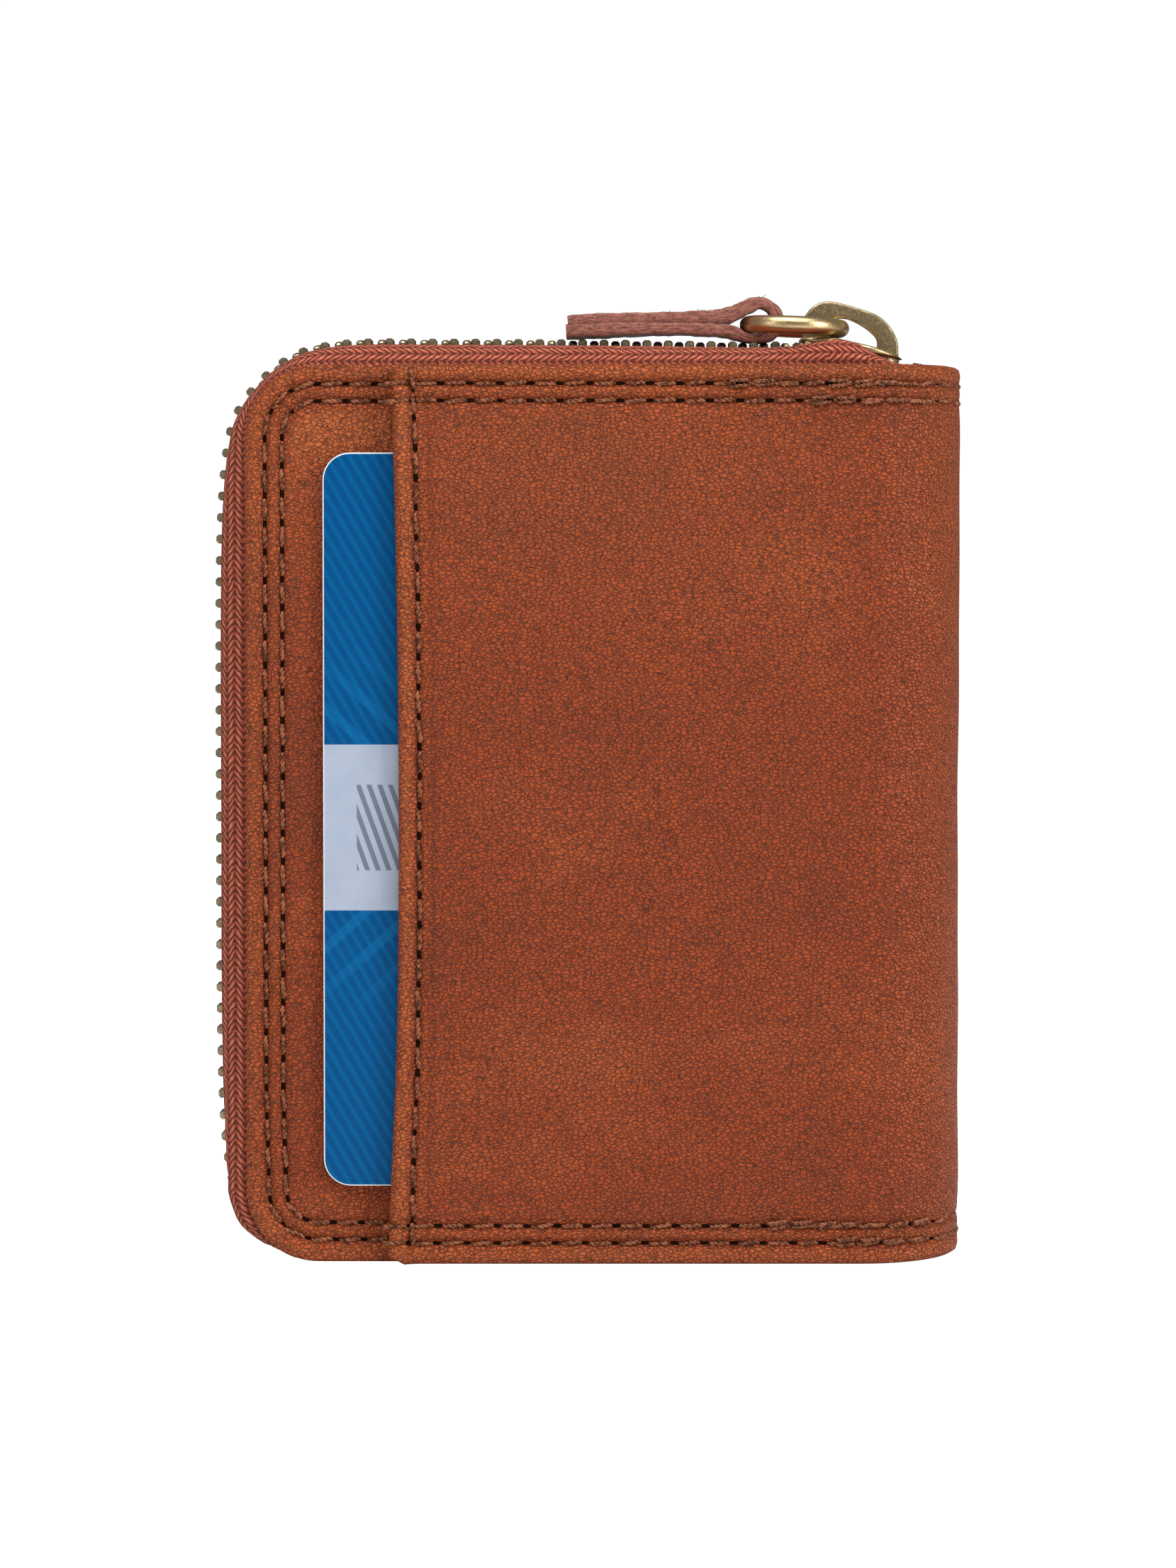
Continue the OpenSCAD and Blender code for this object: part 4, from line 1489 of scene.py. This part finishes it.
tape("back_tape", -1, "back_half", "back_zip_tape")
tape("front_tape", 1, "front_half", "front_zip_tape")

# %% [markdown]
# A tooth is a small brass clamp with its legs pressed round the tape's edge and a head that reaches past
# the middle of the zip, where the heads of the two rows take turns. Two hundred of them are alike, so one
# tooth of about forty faces is drawn and the tree from the stitches sets it along the path, half a pitch
# further on for the front row.

# %% Teeth
tooth_pitch = 2.5


def tooth_piece(name, turn):
    """One tooth from its legs to its head, which points along y where turn is 1."""
    rings = []
    for y, l, h in (
        (-0.72, 0.5, 1.2), (-0.55, 0.78, 1.62), (0.55, 0.82, 1.72), (0.95, 1.05, 2.1), (2.65, 1.05, 2.1),
        (2.9, 0.8, 1.85),
    ):
        cut = min(l, h) * 0.24
        top = [(l / 2, h / 2 - cut), (l / 2 - cut, h / 2), (-l / 2 + cut, h / 2), (-l / 2, h / 2 - cut)]
        ring = top + [(x, -z) for x, z in reversed(top)]
        rings.append([(x, y * turn, z) for x, z in ring])
    points, faces = skin_rings(rings if turn > 0 else rings[::-1])
    piece = mesh_object(name, points, faces, tooth_brass)
    piece.hide_render = True
    return piece


def chain_line(start, stop, sunk):
    """The guide line of a row of teeth, which lies lower by sunk along the side."""
    runs = np.arange(start, stop, 0.25)
    s = np.interp(runs, chain_run, chain_s)
    line, out = [], []
    for place_s in s:
        past_corner = smooth_step(run, run + arc_l, place_s)
        past_side = smooth_step(run + arc_l + side_l, run + 2 * arc_l + side_l, place_s)
        down = sunk * float(past_corner - past_side)
        p, _ = zip_place(place_s, teeth_rise(place_s) - down)
        a, b = (zip_place(place_s + k, teeth_rise(place_s + k))[0] for k in (-0.2, 0.2))
        t = np.array(b) - np.array(a)
        t /= np.linalg.norm(t)
        line.append((p[0], 0, p[1]))
        out.append((t[1], 0, -t[0]))
    return line, out


first_tooth = chain_at(zip_end_x - slider_x - 1.2)
last_tooth = chain_run[-1] - 5
for side, start, sunk, body, node in (
    (-1, 0, 0.0, "back_half", "back_zip_teeth"),
    (1, tooth_pitch / 2, 0.45, "front_half", "front_zip_teeth"),
):
    count = int((last_tooth - first_tooth - start) / tooth_pitch)
    begin = first_tooth + start
    line = chain_line(begin, begin + count * tooth_pitch + 0.2, sunk)
    tooth = tooth_piece(body + "_tooth_pattern", -side)
    teeth = lay_along(
        body.replace("half", "teeth"),
        [line],
        tooth,
        tooth_pitch,
        tooth_brass,
        smooth=False,
    )
    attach(teeth, body)
    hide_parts(node)

# %% [markdown]
# ## Slider, ring and pull
# The slider is cast: two plates with a post between them, and an upright loop on the top plate that holds
# the ring. A leather strap folded round the ring is what the hand takes hold of. The plates are lofted
# from shrinking outlines so that they have a soft domed top, and the loop is a flat curve with a hole and
# a rounded bevel.

# %% Slider plates
slider_z = height + slider_d


def place_on_slider(p):
    x, y, z = p
    x, z = x * math.cos(tilt) + z * math.sin(tilt), -x * math.sin(tilt) + z * math.cos(tilt)
    return (slider_x + x, y, slider_z + z)


def plate_outline(count=56):
    """The plate from above: square tail, wide shoulders and a round nose."""
    tail, shoulder, nose_r = slider_w / 2 - 0.6, slider_w / 2, slider_w / 2
    out = []
    for a in np.arange(count) * math.tau / count:
        c, s = math.cos(a), math.sin(a)
        if c >= 0:
            x = slider_l / 2 - nose_r + nose_r * abs(c) ** 0.9
            y = shoulder * math.copysign(abs(s) ** 0.85, s)
        else:
            k = abs(c) ** 0.28
            x = (slider_l / 2 - nose_r) - (slider_l - nose_r) * k
            y = (shoulder - (shoulder - tail) * abs(c)) * math.copysign(abs(s) ** 0.28, s)
        out.append((x, y))
    return np.array(out)


def dome(x):
    return np.interp(x, (-6.3, -4, -2.2, 0.5, 3.2, 5.3, 6.3), (1.72, 2.1, 2.3, 2.2, 1.98, 1.62, 1.3))


def slider_plate(sign):
    """One plate, lofted from shrinking outlines: sign 1 is the domed top plate and -1 the flat lower one."""
    outline = plate_outline()
    rings = []
    for share, part in (
        (0.0, 0.0), (0.5, 0.0), (0.93, 0.0), (0.985, 0.12), (1.0, 0.4), (0.99, 0.72), (0.955, 0.93),
        (0.88, 1.0), (0.7, 1.04), (0.4, 1.08), (0.0, 1.1),
    ):
        ring = []
        for x, y in outline * max(share, 0.002):
            low, high = 1.25, dome(x) if sign > 0 else 2.05
            ring.append(place_on_slider((x, y, sign * (low + (high - low) * part))))
        rings.append(ring)
    return skin_rings(rings)


def box_part(low, high, cut=0.12):
    """A box with its long corners cut off, as rings along x."""
    rings = []
    for x, c in ((low[0], cut), (low[0] + cut, 0), (high[0] - cut, 0), (high[0], cut)):
        y0, y1, z0, z1 = low[1] + c, high[1] - c, low[2] + c, high[2] - c
        k = cut
        ring = [
            (y0 + k, z0), (y1 - k, z0), (y1, z0 + k), (y1, z1 - k), (y1 - k, z1), (y0 + k, z1),
            (y0, z1 - k), (y0, z0 + k),
        ]
        rings.append([place_on_slider((x, y, z)) for y, z in ring])
    return skin_rings(rings)


def joined(name, parts, material):
    """One piece from several lists of points and faces."""
    points, faces = [], []
    for p, f in parts:
        faces += [tuple(i + len(points) for i in face) for face in f]
        points += list(p)
    return mesh_object(name, points, faces, material)


def post_part():
    """The post that parts the two rows of teeth, oval from above."""
    post_x, half_length, half_width, half_height = slider_l / 2 - 2.6, 2.3, 1.5, 1.3
    rings = []
    for z in (-half_height, half_height):
        turns = np.arange(20) * math.tau / 20
        oval = [(post_x + half_length * math.cos(a), half_width * math.sin(a), z) for a in turns]
        rings.append([place_on_slider(p) for p in oval])
    return skin_rings(rings)


def outward_faces(piece):
    """Turns every closed part of a mesh so that its faces point out."""
    work = bmesh.new()
    work.from_mesh(piece.data)
    bmesh.ops.remove_doubles(work, verts=work.verts, dist=1e-7)
    bmesh.ops.recalc_face_normals(work, faces=work.faces)
    work.to_mesh(piece.data)
    work.free()
    return piece


def worn(piece, rule):
    """Stores a wear value on each point, from its place and normal."""
    mesh = piece.data
    field = mesh.attributes.new("wear", "FLOAT", "POINT")
    values = [rule(v.co / mm, v.normal) for v in mesh.vertices]
    field.data.foreach_set("value", np.array(values, np.float32))
    return piece


flange_parts = []
for hand in (-1, 1):
    for z in (-1.3, 0.7):
        y0, y1 = sorted((hand * 3.2, hand * 3.85))
        flange_parts.append(box_part((-slider_l / 2 + 0.5, y0, z), (2.0, y1, z + 0.6)))
slider_shell = joined(
    "slider_shell",
    [slider_plate(1), slider_plate(-1), post_part(), *flange_parts],
    old_brass,
)
outward_faces(slider_shell)
slider_shell.data.set_sharp_from_angle(angle=math.radians(50))
worn(slider_shell, lambda p, n: min(1.0, 0.3 + 1.1 * (1 - abs(n.z)) ** 0.7))
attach(slider_shell, "slider")
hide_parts("slider_body")
print("slider", len(slider_shell.data.polygons), "faces")

# %% Bridge
bridge_out = [
    (-5.3, 1.2), (-5.5, 3.2), (-5.45, 4.91), (-5.05, 5.61), (-4.43, 6.39), (-3.49, 6.93), (-2.72, 7.09),
    (-1.62, 7.01), (-0.07, 6.62), (1.49, 6.15), (3.05, 5.61), (3.83, 5.15), (4.77, 4.21), (5.39, 3.27),
    (5.78, 2.34), (5.86, 1.24), (5.86, 0.3),
]
bridge_hole = [
    (-2.25, 1.0), (-2.3, 3.2), (-2.15, 4.4), (-1.86, 4.83), (-1.16, 5.15), (-0.07, 5.0), (1.18, 4.44),
    (2.27, 3.74), (3.21, 2.88), (3.45, 2.18), (3.29, 1.4), (2.9, 0.9),
]
bridge_curve = bpy.data.curves.new("bridge_outline", "CURVE")
bridge_curve.dimensions = "2D"
bridge_curve.fill_mode = "BOTH"
bridge_curve.extrude = 0.78 * mm
bridge_curve.bevel_depth = 0.3 * mm
bridge_curve.bevel_resolution = 3
bridge_curve.offset = -0.3 * mm


def rounded(points, cuts):
    """Cuts the corners of a closed outline several times, which rounds it."""
    points = [np.array(p, float) for p in points]
    for _ in range(cuts):
        sides = zip(points, points[1:] + points[:1])
        points = [q for a, b in sides for q in (0.8 * a + 0.2 * b, 0.2 * a + 0.8 * b)]
    return points


for outline in (rounded(bridge_out, 2), rounded(bridge_hole, 2)):
    spline = bridge_curve.splines.new("POLY")
    spline.points.add(len(outline) - 1)
    for point, (x, z) in zip(spline.points, outline):
        point.co = (x * mm, z * mm, 0, 1)
    spline.use_cyclic_u = True
pattern = bpy.data.objects.new("bridge_pattern", bridge_curve)
bpy.context.scene.collection.objects.link(pattern)
bpy.context.view_layer.update()
bridge_mesh = bpy.data.meshes.new_from_object(
    pattern.evaluated_get(bpy.context.evaluated_depsgraph_get())
)
bpy.data.objects.remove(pattern)
bridge_mesh.name = "slider_bridge_loop"
for v in bridge_mesh.vertices:
    x, z, y = v.co
    v.co = (slider_x * mm + x, y, slider_z * mm + z)
bridge = bpy.data.objects.new("slider_bridge_loop", bridge_mesh)
bpy.context.scene.collection.objects.link(bridge)
bridge_mesh.materials.clear()
bridge_mesh.materials.append(old_brass)
outward_faces(bridge)
bridge_mesh.polygons.foreach_set("use_smooth", [True] * len(bridge_mesh.polygons))
bridge_mesh.set_sharp_from_angle(angle=math.radians(40))
worn(bridge, lambda p, n: 1.0 - 0.85 * max(0, (abs(p.y) - 0.9) / 0.2) if abs(p.y) > 0.9 else 1.0)
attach(bridge, "slider")
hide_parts("slider_bridge")
print("bridge", len(bridge_mesh.polygons), "faces")

# %% Ring
wire_r, ring_r = 1.05, 5.45
rise_angle = math.radians(2.4)
ring_x, ring_z = slider_x - 0.98, slider_z + 3.87
rings = []
slit = 0.02
for a in np.linspace(slit, math.tau - slit, 97):
    centre = np.array((ring_r * math.cos(a) - ring_r, ring_r * math.sin(a), 0))
    out = np.array((math.cos(a), math.sin(a), 0))
    end = min(a - slit, math.tau - slit - a)
    r = wire_r * (0.86 if end < 1e-6 else 1.0)
    ring = []
    for q in np.arange(18) * math.tau / 18:
        x, y, z = centre + r * (math.cos(q) * out + math.sin(q) * np.array((0, 0, 1)))
        along = x * math.cos(rise_angle) + z * math.sin(rise_angle)
        up = z * math.cos(rise_angle) - x * math.sin(rise_angle)
        ring.append((ring_x + along, y, ring_z + up))
    rings.append(ring)
points, faces = skin_rings(rings)
pull_hoop = mesh_object("pull_hoop", points, faces, ring_brass)
outward_faces(pull_hoop)
pull_hoop.data.set_sharp_from_angle(angle=math.radians(45))
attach(pull_hoop, "ring")
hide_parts("pull_ring")
print("ring", len(pull_hoop.data.polygons), "faces")

# %% [markdown]
# The pull is a strap of thick leather, folded in half round the ring and pressed together. Seen from the
# side it shows its raw edges: two layers that part near the ring and leave a gap. It is swept along the
# fold's middle line with a section that follows the strap's width, and a few loose fibres stand up at the
# fold, where it was cut.

# %% Strap path and section
pull_x = ring_x - 2 * ring_r * math.cos(rise_angle)
pull_z = ring_z + 2 * ring_r * math.sin(rise_angle)
# x, z and thickness along the lower layer, round the fold and back along the upper layer
strap_keys = [
    (-21.6, -0.85, 1.4), (-19.5, -0.76, 1.55), (-16, -0.58, 1.6), (-12, -0.5, 1.45),
    (-8, -0.48, 1.38), (-4.6, -0.6, 1.5), (-2.5, -0.78, 1.45), (-1.4, -1.12, 1.38),
    (-0.5, -1.5, 1.12), (1.2, -1.68, 0.92), (2.6, -1.42, 1.0), (3.35, -0.5, 1.2), (3.4, 0.6, 1.35),
    (2.9, 1.75, 1.3), (1.5, 2.58, 1.2), (0.0, 2.18, 1.6), (-1.6, 1.4, 1.75), (-2.8, 1.02, 1.75),
    (-4.0, 0.9, 1.62), (-5.6, 0.86, 1.5), (-8.3, 0.78, 1.34), (-12, 0.7, 1.25), (-16, 0.6, 1.25),
    (-19.5, 0.48, 1.25), (-21.4, 0.3, 1.15),
]
strap = smooth_line(strap_keys, 6)


def strap_width(x):
    """The strap is wide at its end and narrow where it passes through the ring."""
    return float(np.interp(x, (-22, -20.8, -17, -7, -4, 4), (8.0, 9.0, 9.0, 5.6, 5.2, 5.2)))


rings, maps, face_values = [], [], []
run_l = np.concatenate([[0], np.cumsum(np.linalg.norm(np.diff(strap[:, :2], axis=0), axis=1))])
for i, (x, z, t) in enumerate(strap):
    a, b = strap[max(i - 1, 0)][:2], strap[min(i + 1, len(strap) - 1)][:2]
    tangent = (b - a) / np.linalg.norm(b - a)
    normal = np.array((tangent[1], -tangent[0]))
    half_w = strap_width(x) / 2
    t = t * (1 + 0.05 * math.sin(run_l[i] * 1.7) + 0.04 * math.sin(run_l[i] * 4.1 + 1))
    ring, m, f = [], [], []
    cut, belly = 0.16, 0.03
    hand = [
        (0.5, half_w - cut),
        (0.5 - cut / t, half_w),
        (0.16, half_w + belly),
        (-0.16, half_w + belly),
        (-0.5 + cut / t, half_w),
        (-0.5, half_w - cut),
    ]
    for part, y in [*hand, (-0.5, 0), *((part, -y) for part, y in reversed(hand)), (0.5, 0)]:
        p = np.array((x, z)) + normal * part * t
        ring.append((pull_x + p[0], y, pull_z + p[1]))
        m.append(part * t + 0.7)
        f.append(1.0 if part >= 0.499 and abs(y) < half_w - 0.1 else 0.0)
    rings.append(ring)
    maps.append(m)
    face_values += f
points, faces = skin_rings(rings)
pull_strap = mesh_object("pull_strap", points, faces, pull_leather)
layer = pull_strap.data.uv_layers.new(name="UVMap")
sides = len(rings[0])
for loop in pull_strap.data.loops:
    i = loop.vertex_index
    layer.data[loop.index].uv = (run_l[i // sides], maps[i // sides][i % sides])
field = pull_strap.data.attributes.new("face_side", "FLOAT", "POINT")
field.data.foreach_set("value", np.array(face_values, np.float32))
pull_strap.data.set_sharp_from_angle(angle=math.radians(60))
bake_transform(pull_strap)
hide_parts("leather_pull")

# %% Loose fibres on the strap
rng = np.random.default_rng(5)
fibre_parts = []
for k in range(26):
    i = int(rng.integers(80, 96)) if k < 14 else int(rng.integers(0, len(strap)))
    x, z, t = strap[i]
    y = (strap_width(x) / 2) * rng.choice((-1, 1))
    lean = rng.uniform(-1, 1)
    size = rng.uniform(0.25, 0.75)
    base = np.array((pull_x + x, y, pull_z + z + t / 2 - 0.08))
    tip = base + np.array((lean * size, math.copysign(0.15, y), size * 0.5))
    bend = (base + tip) / 2 + np.array((0, 0, 0.12 * size))
    rings = []
    for c, r in ((base, 0.05), (bend, 0.035), (tip, 0.012)):
        rings.append(
            [c + r * np.array((math.cos(q), 0.3, math.sin(q))) for q in np.arange(3) * math.tau / 3]
        )
    fibre_parts.append(skin_rings(rings))
strap_fibres = joined("strap_fibres", fibre_parts, pull_leather)
outward_faces(strap_fibres)
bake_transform(strap_fibres)
print("strap", len(pull_strap.data.polygons), "faces")

# %% [markdown]
# ## The card
# A printed plastic card in the standard size stands in the pocket. Its face is blue with slanting bands
# and a silver strip across the middle, and its cut edge is white. The print is a few stripes and limits
# on the object's own coordinates. The strip carries plain slanting bars only.

# %% Card material
card_low, card_high = box_mm("id_card")
card_print, tree, shader = new_material("card_print")
split = add_node(tree, "ShaderNodeSeparateXYZ", {0: object_place(tree)})
px, pz = (calc(tree, "MULTIPLY", split.outputs[k], 1000.0) for k in (0, 2))
diagonal = calc(tree, "ADD", calc(tree, "MULTIPLY", px, 0.86), calc(tree, "MULTIPLY", pz, 0.5))
lines = calc(tree, "SINE", calc(tree, "MULTIPLY", diagonal, math.tau / 1.15))
fold_z = calc(tree, "ABSOLUTE", calc(tree, "SUBTRACT", pz, 51.0))
chevron = calc(tree, "ADD", px, calc(tree, "MULTIPLY", fold_z, 1.1))
bands = calc(tree, "SINE", calc(tree, "MULTIPLY", chevron, math.tau / 5.5))
near = ramp(tree, fold_z, (24.0, 11.0, 0.0, 1.0))
blue = blend_colour(
    tree,
    ramp(tree, lines, (-0.4, 0.9, 0.0, 0.55)),
    (0.0, 0.07, 0.22),
    (0.0, 0.125, 0.33),
)
glow = calc(tree, "MULTIPLY", ramp(tree, bands, (0.35, 0.8, 0.0, 0.4)), near)
blue = blend_colour(tree, glow, blue, (0.004, 0.17, 0.42))
shadow = calc(
    tree,
    "MULTIPLY",
    ramp(tree, pz, (70.0, 52.0, 0.0, 0.25)),
    ramp(tree, pz, (32.0, 50.0, 0.0, 1.0)),
)
blue = blend_colour(tree, shadow, blue, (0.0, 0.05, 0.19))
inside = calc(
    tree,
    "MULTIPLY",
    ramp(tree, pz, (41.3, 41.45, 0.0, 1.0)),
    ramp(tree, pz, (60.8, 60.65, 0.0, 1.0)),
)
brushed = noise(tree, object_place(tree), 300.0, 3.0)
silver = blend_colour(tree, brushed, (0.33, 0.39, 0.5), (0.44, 0.5, 0.61))
leaning = calc(tree, "ADD", px, calc(tree, "MULTIPLY", pz, 0.36))
bar_at = calc(tree, "FRACT", calc(tree, "DIVIDE", leaning, 1.25), 0.0)
bar = calc(
    tree,
    "MULTIPLY",
    ramp(tree, bar_at, (0.45, 0.5, 0.0, 1.0)),
    ramp(tree, bar_at, (0.98, 0.93, 0.0, 1.0)),
)
bar_rows = calc(
    tree,
    "MULTIPLY",
    ramp(tree, pz, (46.0, 46.1, 0.0, 1.0)),
    ramp(tree, pz, (56.1, 56.0, 0.0, 1.0)),
)
bar_area = calc(tree, "MULTIPLY", ramp(tree, px, (-27.0, -26.9, 0.0, 1.0)), bar_rows)
silver = blend_colour(tree, calc(tree, "MULTIPLY", bar, bar_area), silver, (0.16, 0.19, 0.25))
printed = blend_colour(tree, inside, blue, silver)
cut_edge = attribute(tree, "cut_edge")
tree.links.new(blend_colour(tree, cut_edge, printed, (0.78, 0.8, 0.82)), shader.inputs["Base Color"])
scuffs = noise(tree, object_place(tree), 1400.0, 2.0)
tree.links.new(calc(tree, "MULTIPLY_ADD", scuffs, 0.16, 0.32), shader.inputs["Roughness"])
shader.inputs["Specular IOR Level"].default_value = 0.1
print("card print has", len(tree.nodes), "nodes")

# %% Card mesh
card_r = 3.18


def round_rect(low, high, inset, radius, per=10):
    """A rectangle with round corners, drawn in from its edge by inset."""
    out = []
    r = max(radius - inset, 0.01)
    left, right, foot, top = low[0] + radius, high[0] - radius, low[1] + radius, high[1] - radius
    for a0, (cx, cz) in enumerate(((right, top), (left, top), (left, foot), (right, foot))):
        for k in range(per + 1):
            a = math.pi / 2 * (a0 + k / per)
            out.append((cx + r * math.cos(a), cz + r * math.sin(a)))
    return out


card_rings, edge_values = [], []
for inset, y, value in (
    (0.17, card_low.y, 0),
    (0.13, card_low.y, 1),
    (0.06, card_low.y + 0.02, 1),
    (0.0, card_low.y + 0.12, 1),
    (0.0, card_high.y - 0.12, 1),
    (0.07, card_high.y - 0.02, 1),
    (0.16, card_high.y, 1),
    (0.24, card_high.y, 0),
):
    outline = round_rect((card_low.x, card_low.z), (card_high.x, card_high.z), inset, card_r)
    card_rings.append([(x, y, z) for x, z in outline])
    edge_values += [value] * len(outline)
points, faces = skin_rings(card_rings)
card = mesh_object("printed_card", points, faces, card_print)
field = card.data.attributes.new("cut_edge", "FLOAT", "POINT")
field.data.foreach_set("value", np.array(edge_values, np.float32))
outward_faces(card)
card.data.set_sharp_from_angle(angle=math.radians(30))
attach(card, "card")
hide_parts("id_card")
print("card", len(card.data.polygons), "faces")

# %% [markdown]
# ## Inside
# Open, the wallet shows an inner panel and three card slots on each half, over a woven lining. The slots
# are thin leather, each with a turned and sewn mouth and set back from the one under it. They are the
# same rounded outline at different sizes, so one helper lofts them with rolled edges. Boards stay as the
# CAD model has them, and the padding gets a soft outline.

# %% Thin panels with rolled edges
def thin_panel(name, node, radius, w_from, w_to, side, material, body, mouth=False):
    """A CAD node's outline with a rolled edge, and with a groove for the seam where it is a slot's mouth."""
    low, high = box_mm(node)
    low, high = (low.x, low.z), (high.x, high.z)
    t = w_from - w_to
    rings, wear = [], []
    profile = [
        (3.4, 1.0, 0.0),
        (2.6, 1.0, 0.0),
        (2.0, 1.0, 0.0),
        # A wear of -0.5 here gives the inner leather a painted shade in the seam's groove.
        (1.75, 0.8 if mouth else 1.0, -0.5),
        (1.5, 1.0, 0.0),
        (0.9, 1.08, 0.4),
        (0.35, 0.93, 0.7),
        (0.08, 0.72, 0.8),
        (0.0, 0.5, 0.8),
        (0.08, 0.28, 0.3),
        (0.35, 0.07, 0),
        (0.9, 0.0, 0),
        (2.6, 0.0, 0),
    ]
    for inset, part, value in profile:
        outline = round_rect(low, high, inset, radius, 8)
        rings.append([(x, side * (w_to + t * part), z) for x, z in outline])
        wear += [value] * len(outline)
    points, faces = skin_rings(rings)
    panel = mesh_object(name, points, faces, material)
    field = panel.data.attributes.new("wear", "FLOAT", "POINT")
    field.data.foreach_set("value", np.array(wear, np.float32))
    layer = panel.data.uv_layers.new(name="UVMap")
    for loop in panel.data.loops:
        co = panel.data.vertices[loop.vertex_index].co
        layer.data[loop.index].uv = (co.x / mm, co.z / mm)
    outward_faces(panel)
    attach(panel, body)
    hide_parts(node)
    return panel


slot_rows = {}
for half, side in (("back", -1), ("front", 1)):
    body = half + "_half"
    for node, radius, material, slot_name, mouth in (
        (half + "_lining", 6.5, lining_cloth, "lining", False),
        (half + "_inner_panel", 5.0, inner_leather, "inner_leather", True),
        (half + "_slot_1", 5.0, inner_leather, "inner_leather", True),
        (half + "_slot_2", 5.0, inner_leather, "inner_leather", True),
        (half + "_slot_3", 5.0, inner_leather, "inner_leather", True),
    ):
        low, high = box_mm(node)
        # the face that is seen looks towards the middle of the wallet
        near, far = sorted((abs(low.y), abs(high.y)))
        piece = thin_panel(
            node + "_piece", node, radius, near, far, side, material, body, mouth
        )
        if mouth:
            u = high.x - 1.75
            zs = np.arange(low.z + 2.5, high.z - 2.5, 0.5)
            line = [(u, side * (near - 0.02), z) for z in zs]
            slot_rows.setdefault(body, []).append((line, [(0, -side, 0)] * len(line)))
for body, lines in slot_rows.items():
    rows = lay_along(
        body.replace("half", "slot_stitches"),
        lines,
        small_stitch,
        2.7,
        thread_brown,
        slant=0.08,
        slant_jitter=0.04,
        seed=41,
    )
    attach(rows, body)

# %% Spine lining, padding and boards
low, high = box_mm("spine_lining")
lining_r, lining_from, lining_turn = 10.6, 42, 96
rings = []
for k in range(25):
    a = math.radians(lining_from + lining_turn * k / 24)
    ring = []
    for r, z in (
        (10.3, low.z + 0.4), (10.45, low.z), (10.75, low.z), (10.9, low.z + 0.4), (10.9, high.z - 0.4),
        (10.75, high.z), (10.45, high.z), (10.3, high.z - 0.4),
    ):
        ring.append((bend_x + r * math.sin(a), -r * math.cos(a), z))
    rings.append(ring)
points, faces = skin_rings(rings)
spine_cloth = mesh_object("spine_lining_piece", points, faces, lining_cloth)
layer = spine_cloth.data.uv_layers.new(name="UVMap")
for loop in spine_cloth.data.loops:
    co = spine_cloth.data.vertices[loop.vertex_index].co
    layer.data[loop.index].uv = (
        lining_r * (loop.vertex_index // 8) * math.radians(lining_turn / 24),
        co.z / mm,
    )
outward_faces(spine_cloth)
spine_cloth.data.set_sharp_from_angle(angle=math.radians(40))
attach(spine_cloth, "spine")
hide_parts("spine_lining")
low, high = box_mm("front_padding")
pad = thin_panel(
    "front_pad", "front_padding", 3.5, high.y, low.y, 1, padding_felt, "front_half"
)
for node in ("back_board", "front_board"):
    frame["nodes"][node].data.materials.clear()
    frame["nodes"][node].data.materials.append(board_fibre)
print("spine lining is", round(lining_r * math.radians(lining_turn), 1), "mm wide, laid flat")

# %% [markdown]
# ## Zip stops
# Small brass clamps end the rows of teeth: one on each tape beside the slider's parked place, and a wider
# one that joins both tapes at the foot. They stay as the CAD model has them, where a bevel would be too
# fine to see, and take the same aged brass.

# %% Stops
for node in ("back_top_stop", "front_top_stop", "zip_bottom_stop"):
    piece = frame["nodes"][node]
    piece.data.materials.clear()
    piece.data.materials.append(tooth_brass)
print("stops take", tooth_brass.name)

# %% [markdown]
# ## Size
# The last cell takes away the leftover pattern pieces and prints the box round the drawn model, without
# the floor. The drawn model has to stay inside the CAD model's box, apart from what soft leather may
# stand proud.

# %% Sizes and finish
for leftover in [o for o in bpy.data.objects if o.name.endswith("_pattern")]:
    bpy.data.objects.remove(leftover)
low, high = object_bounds()
print("visual box", [round(v, 4) for v in (*low, *high)])
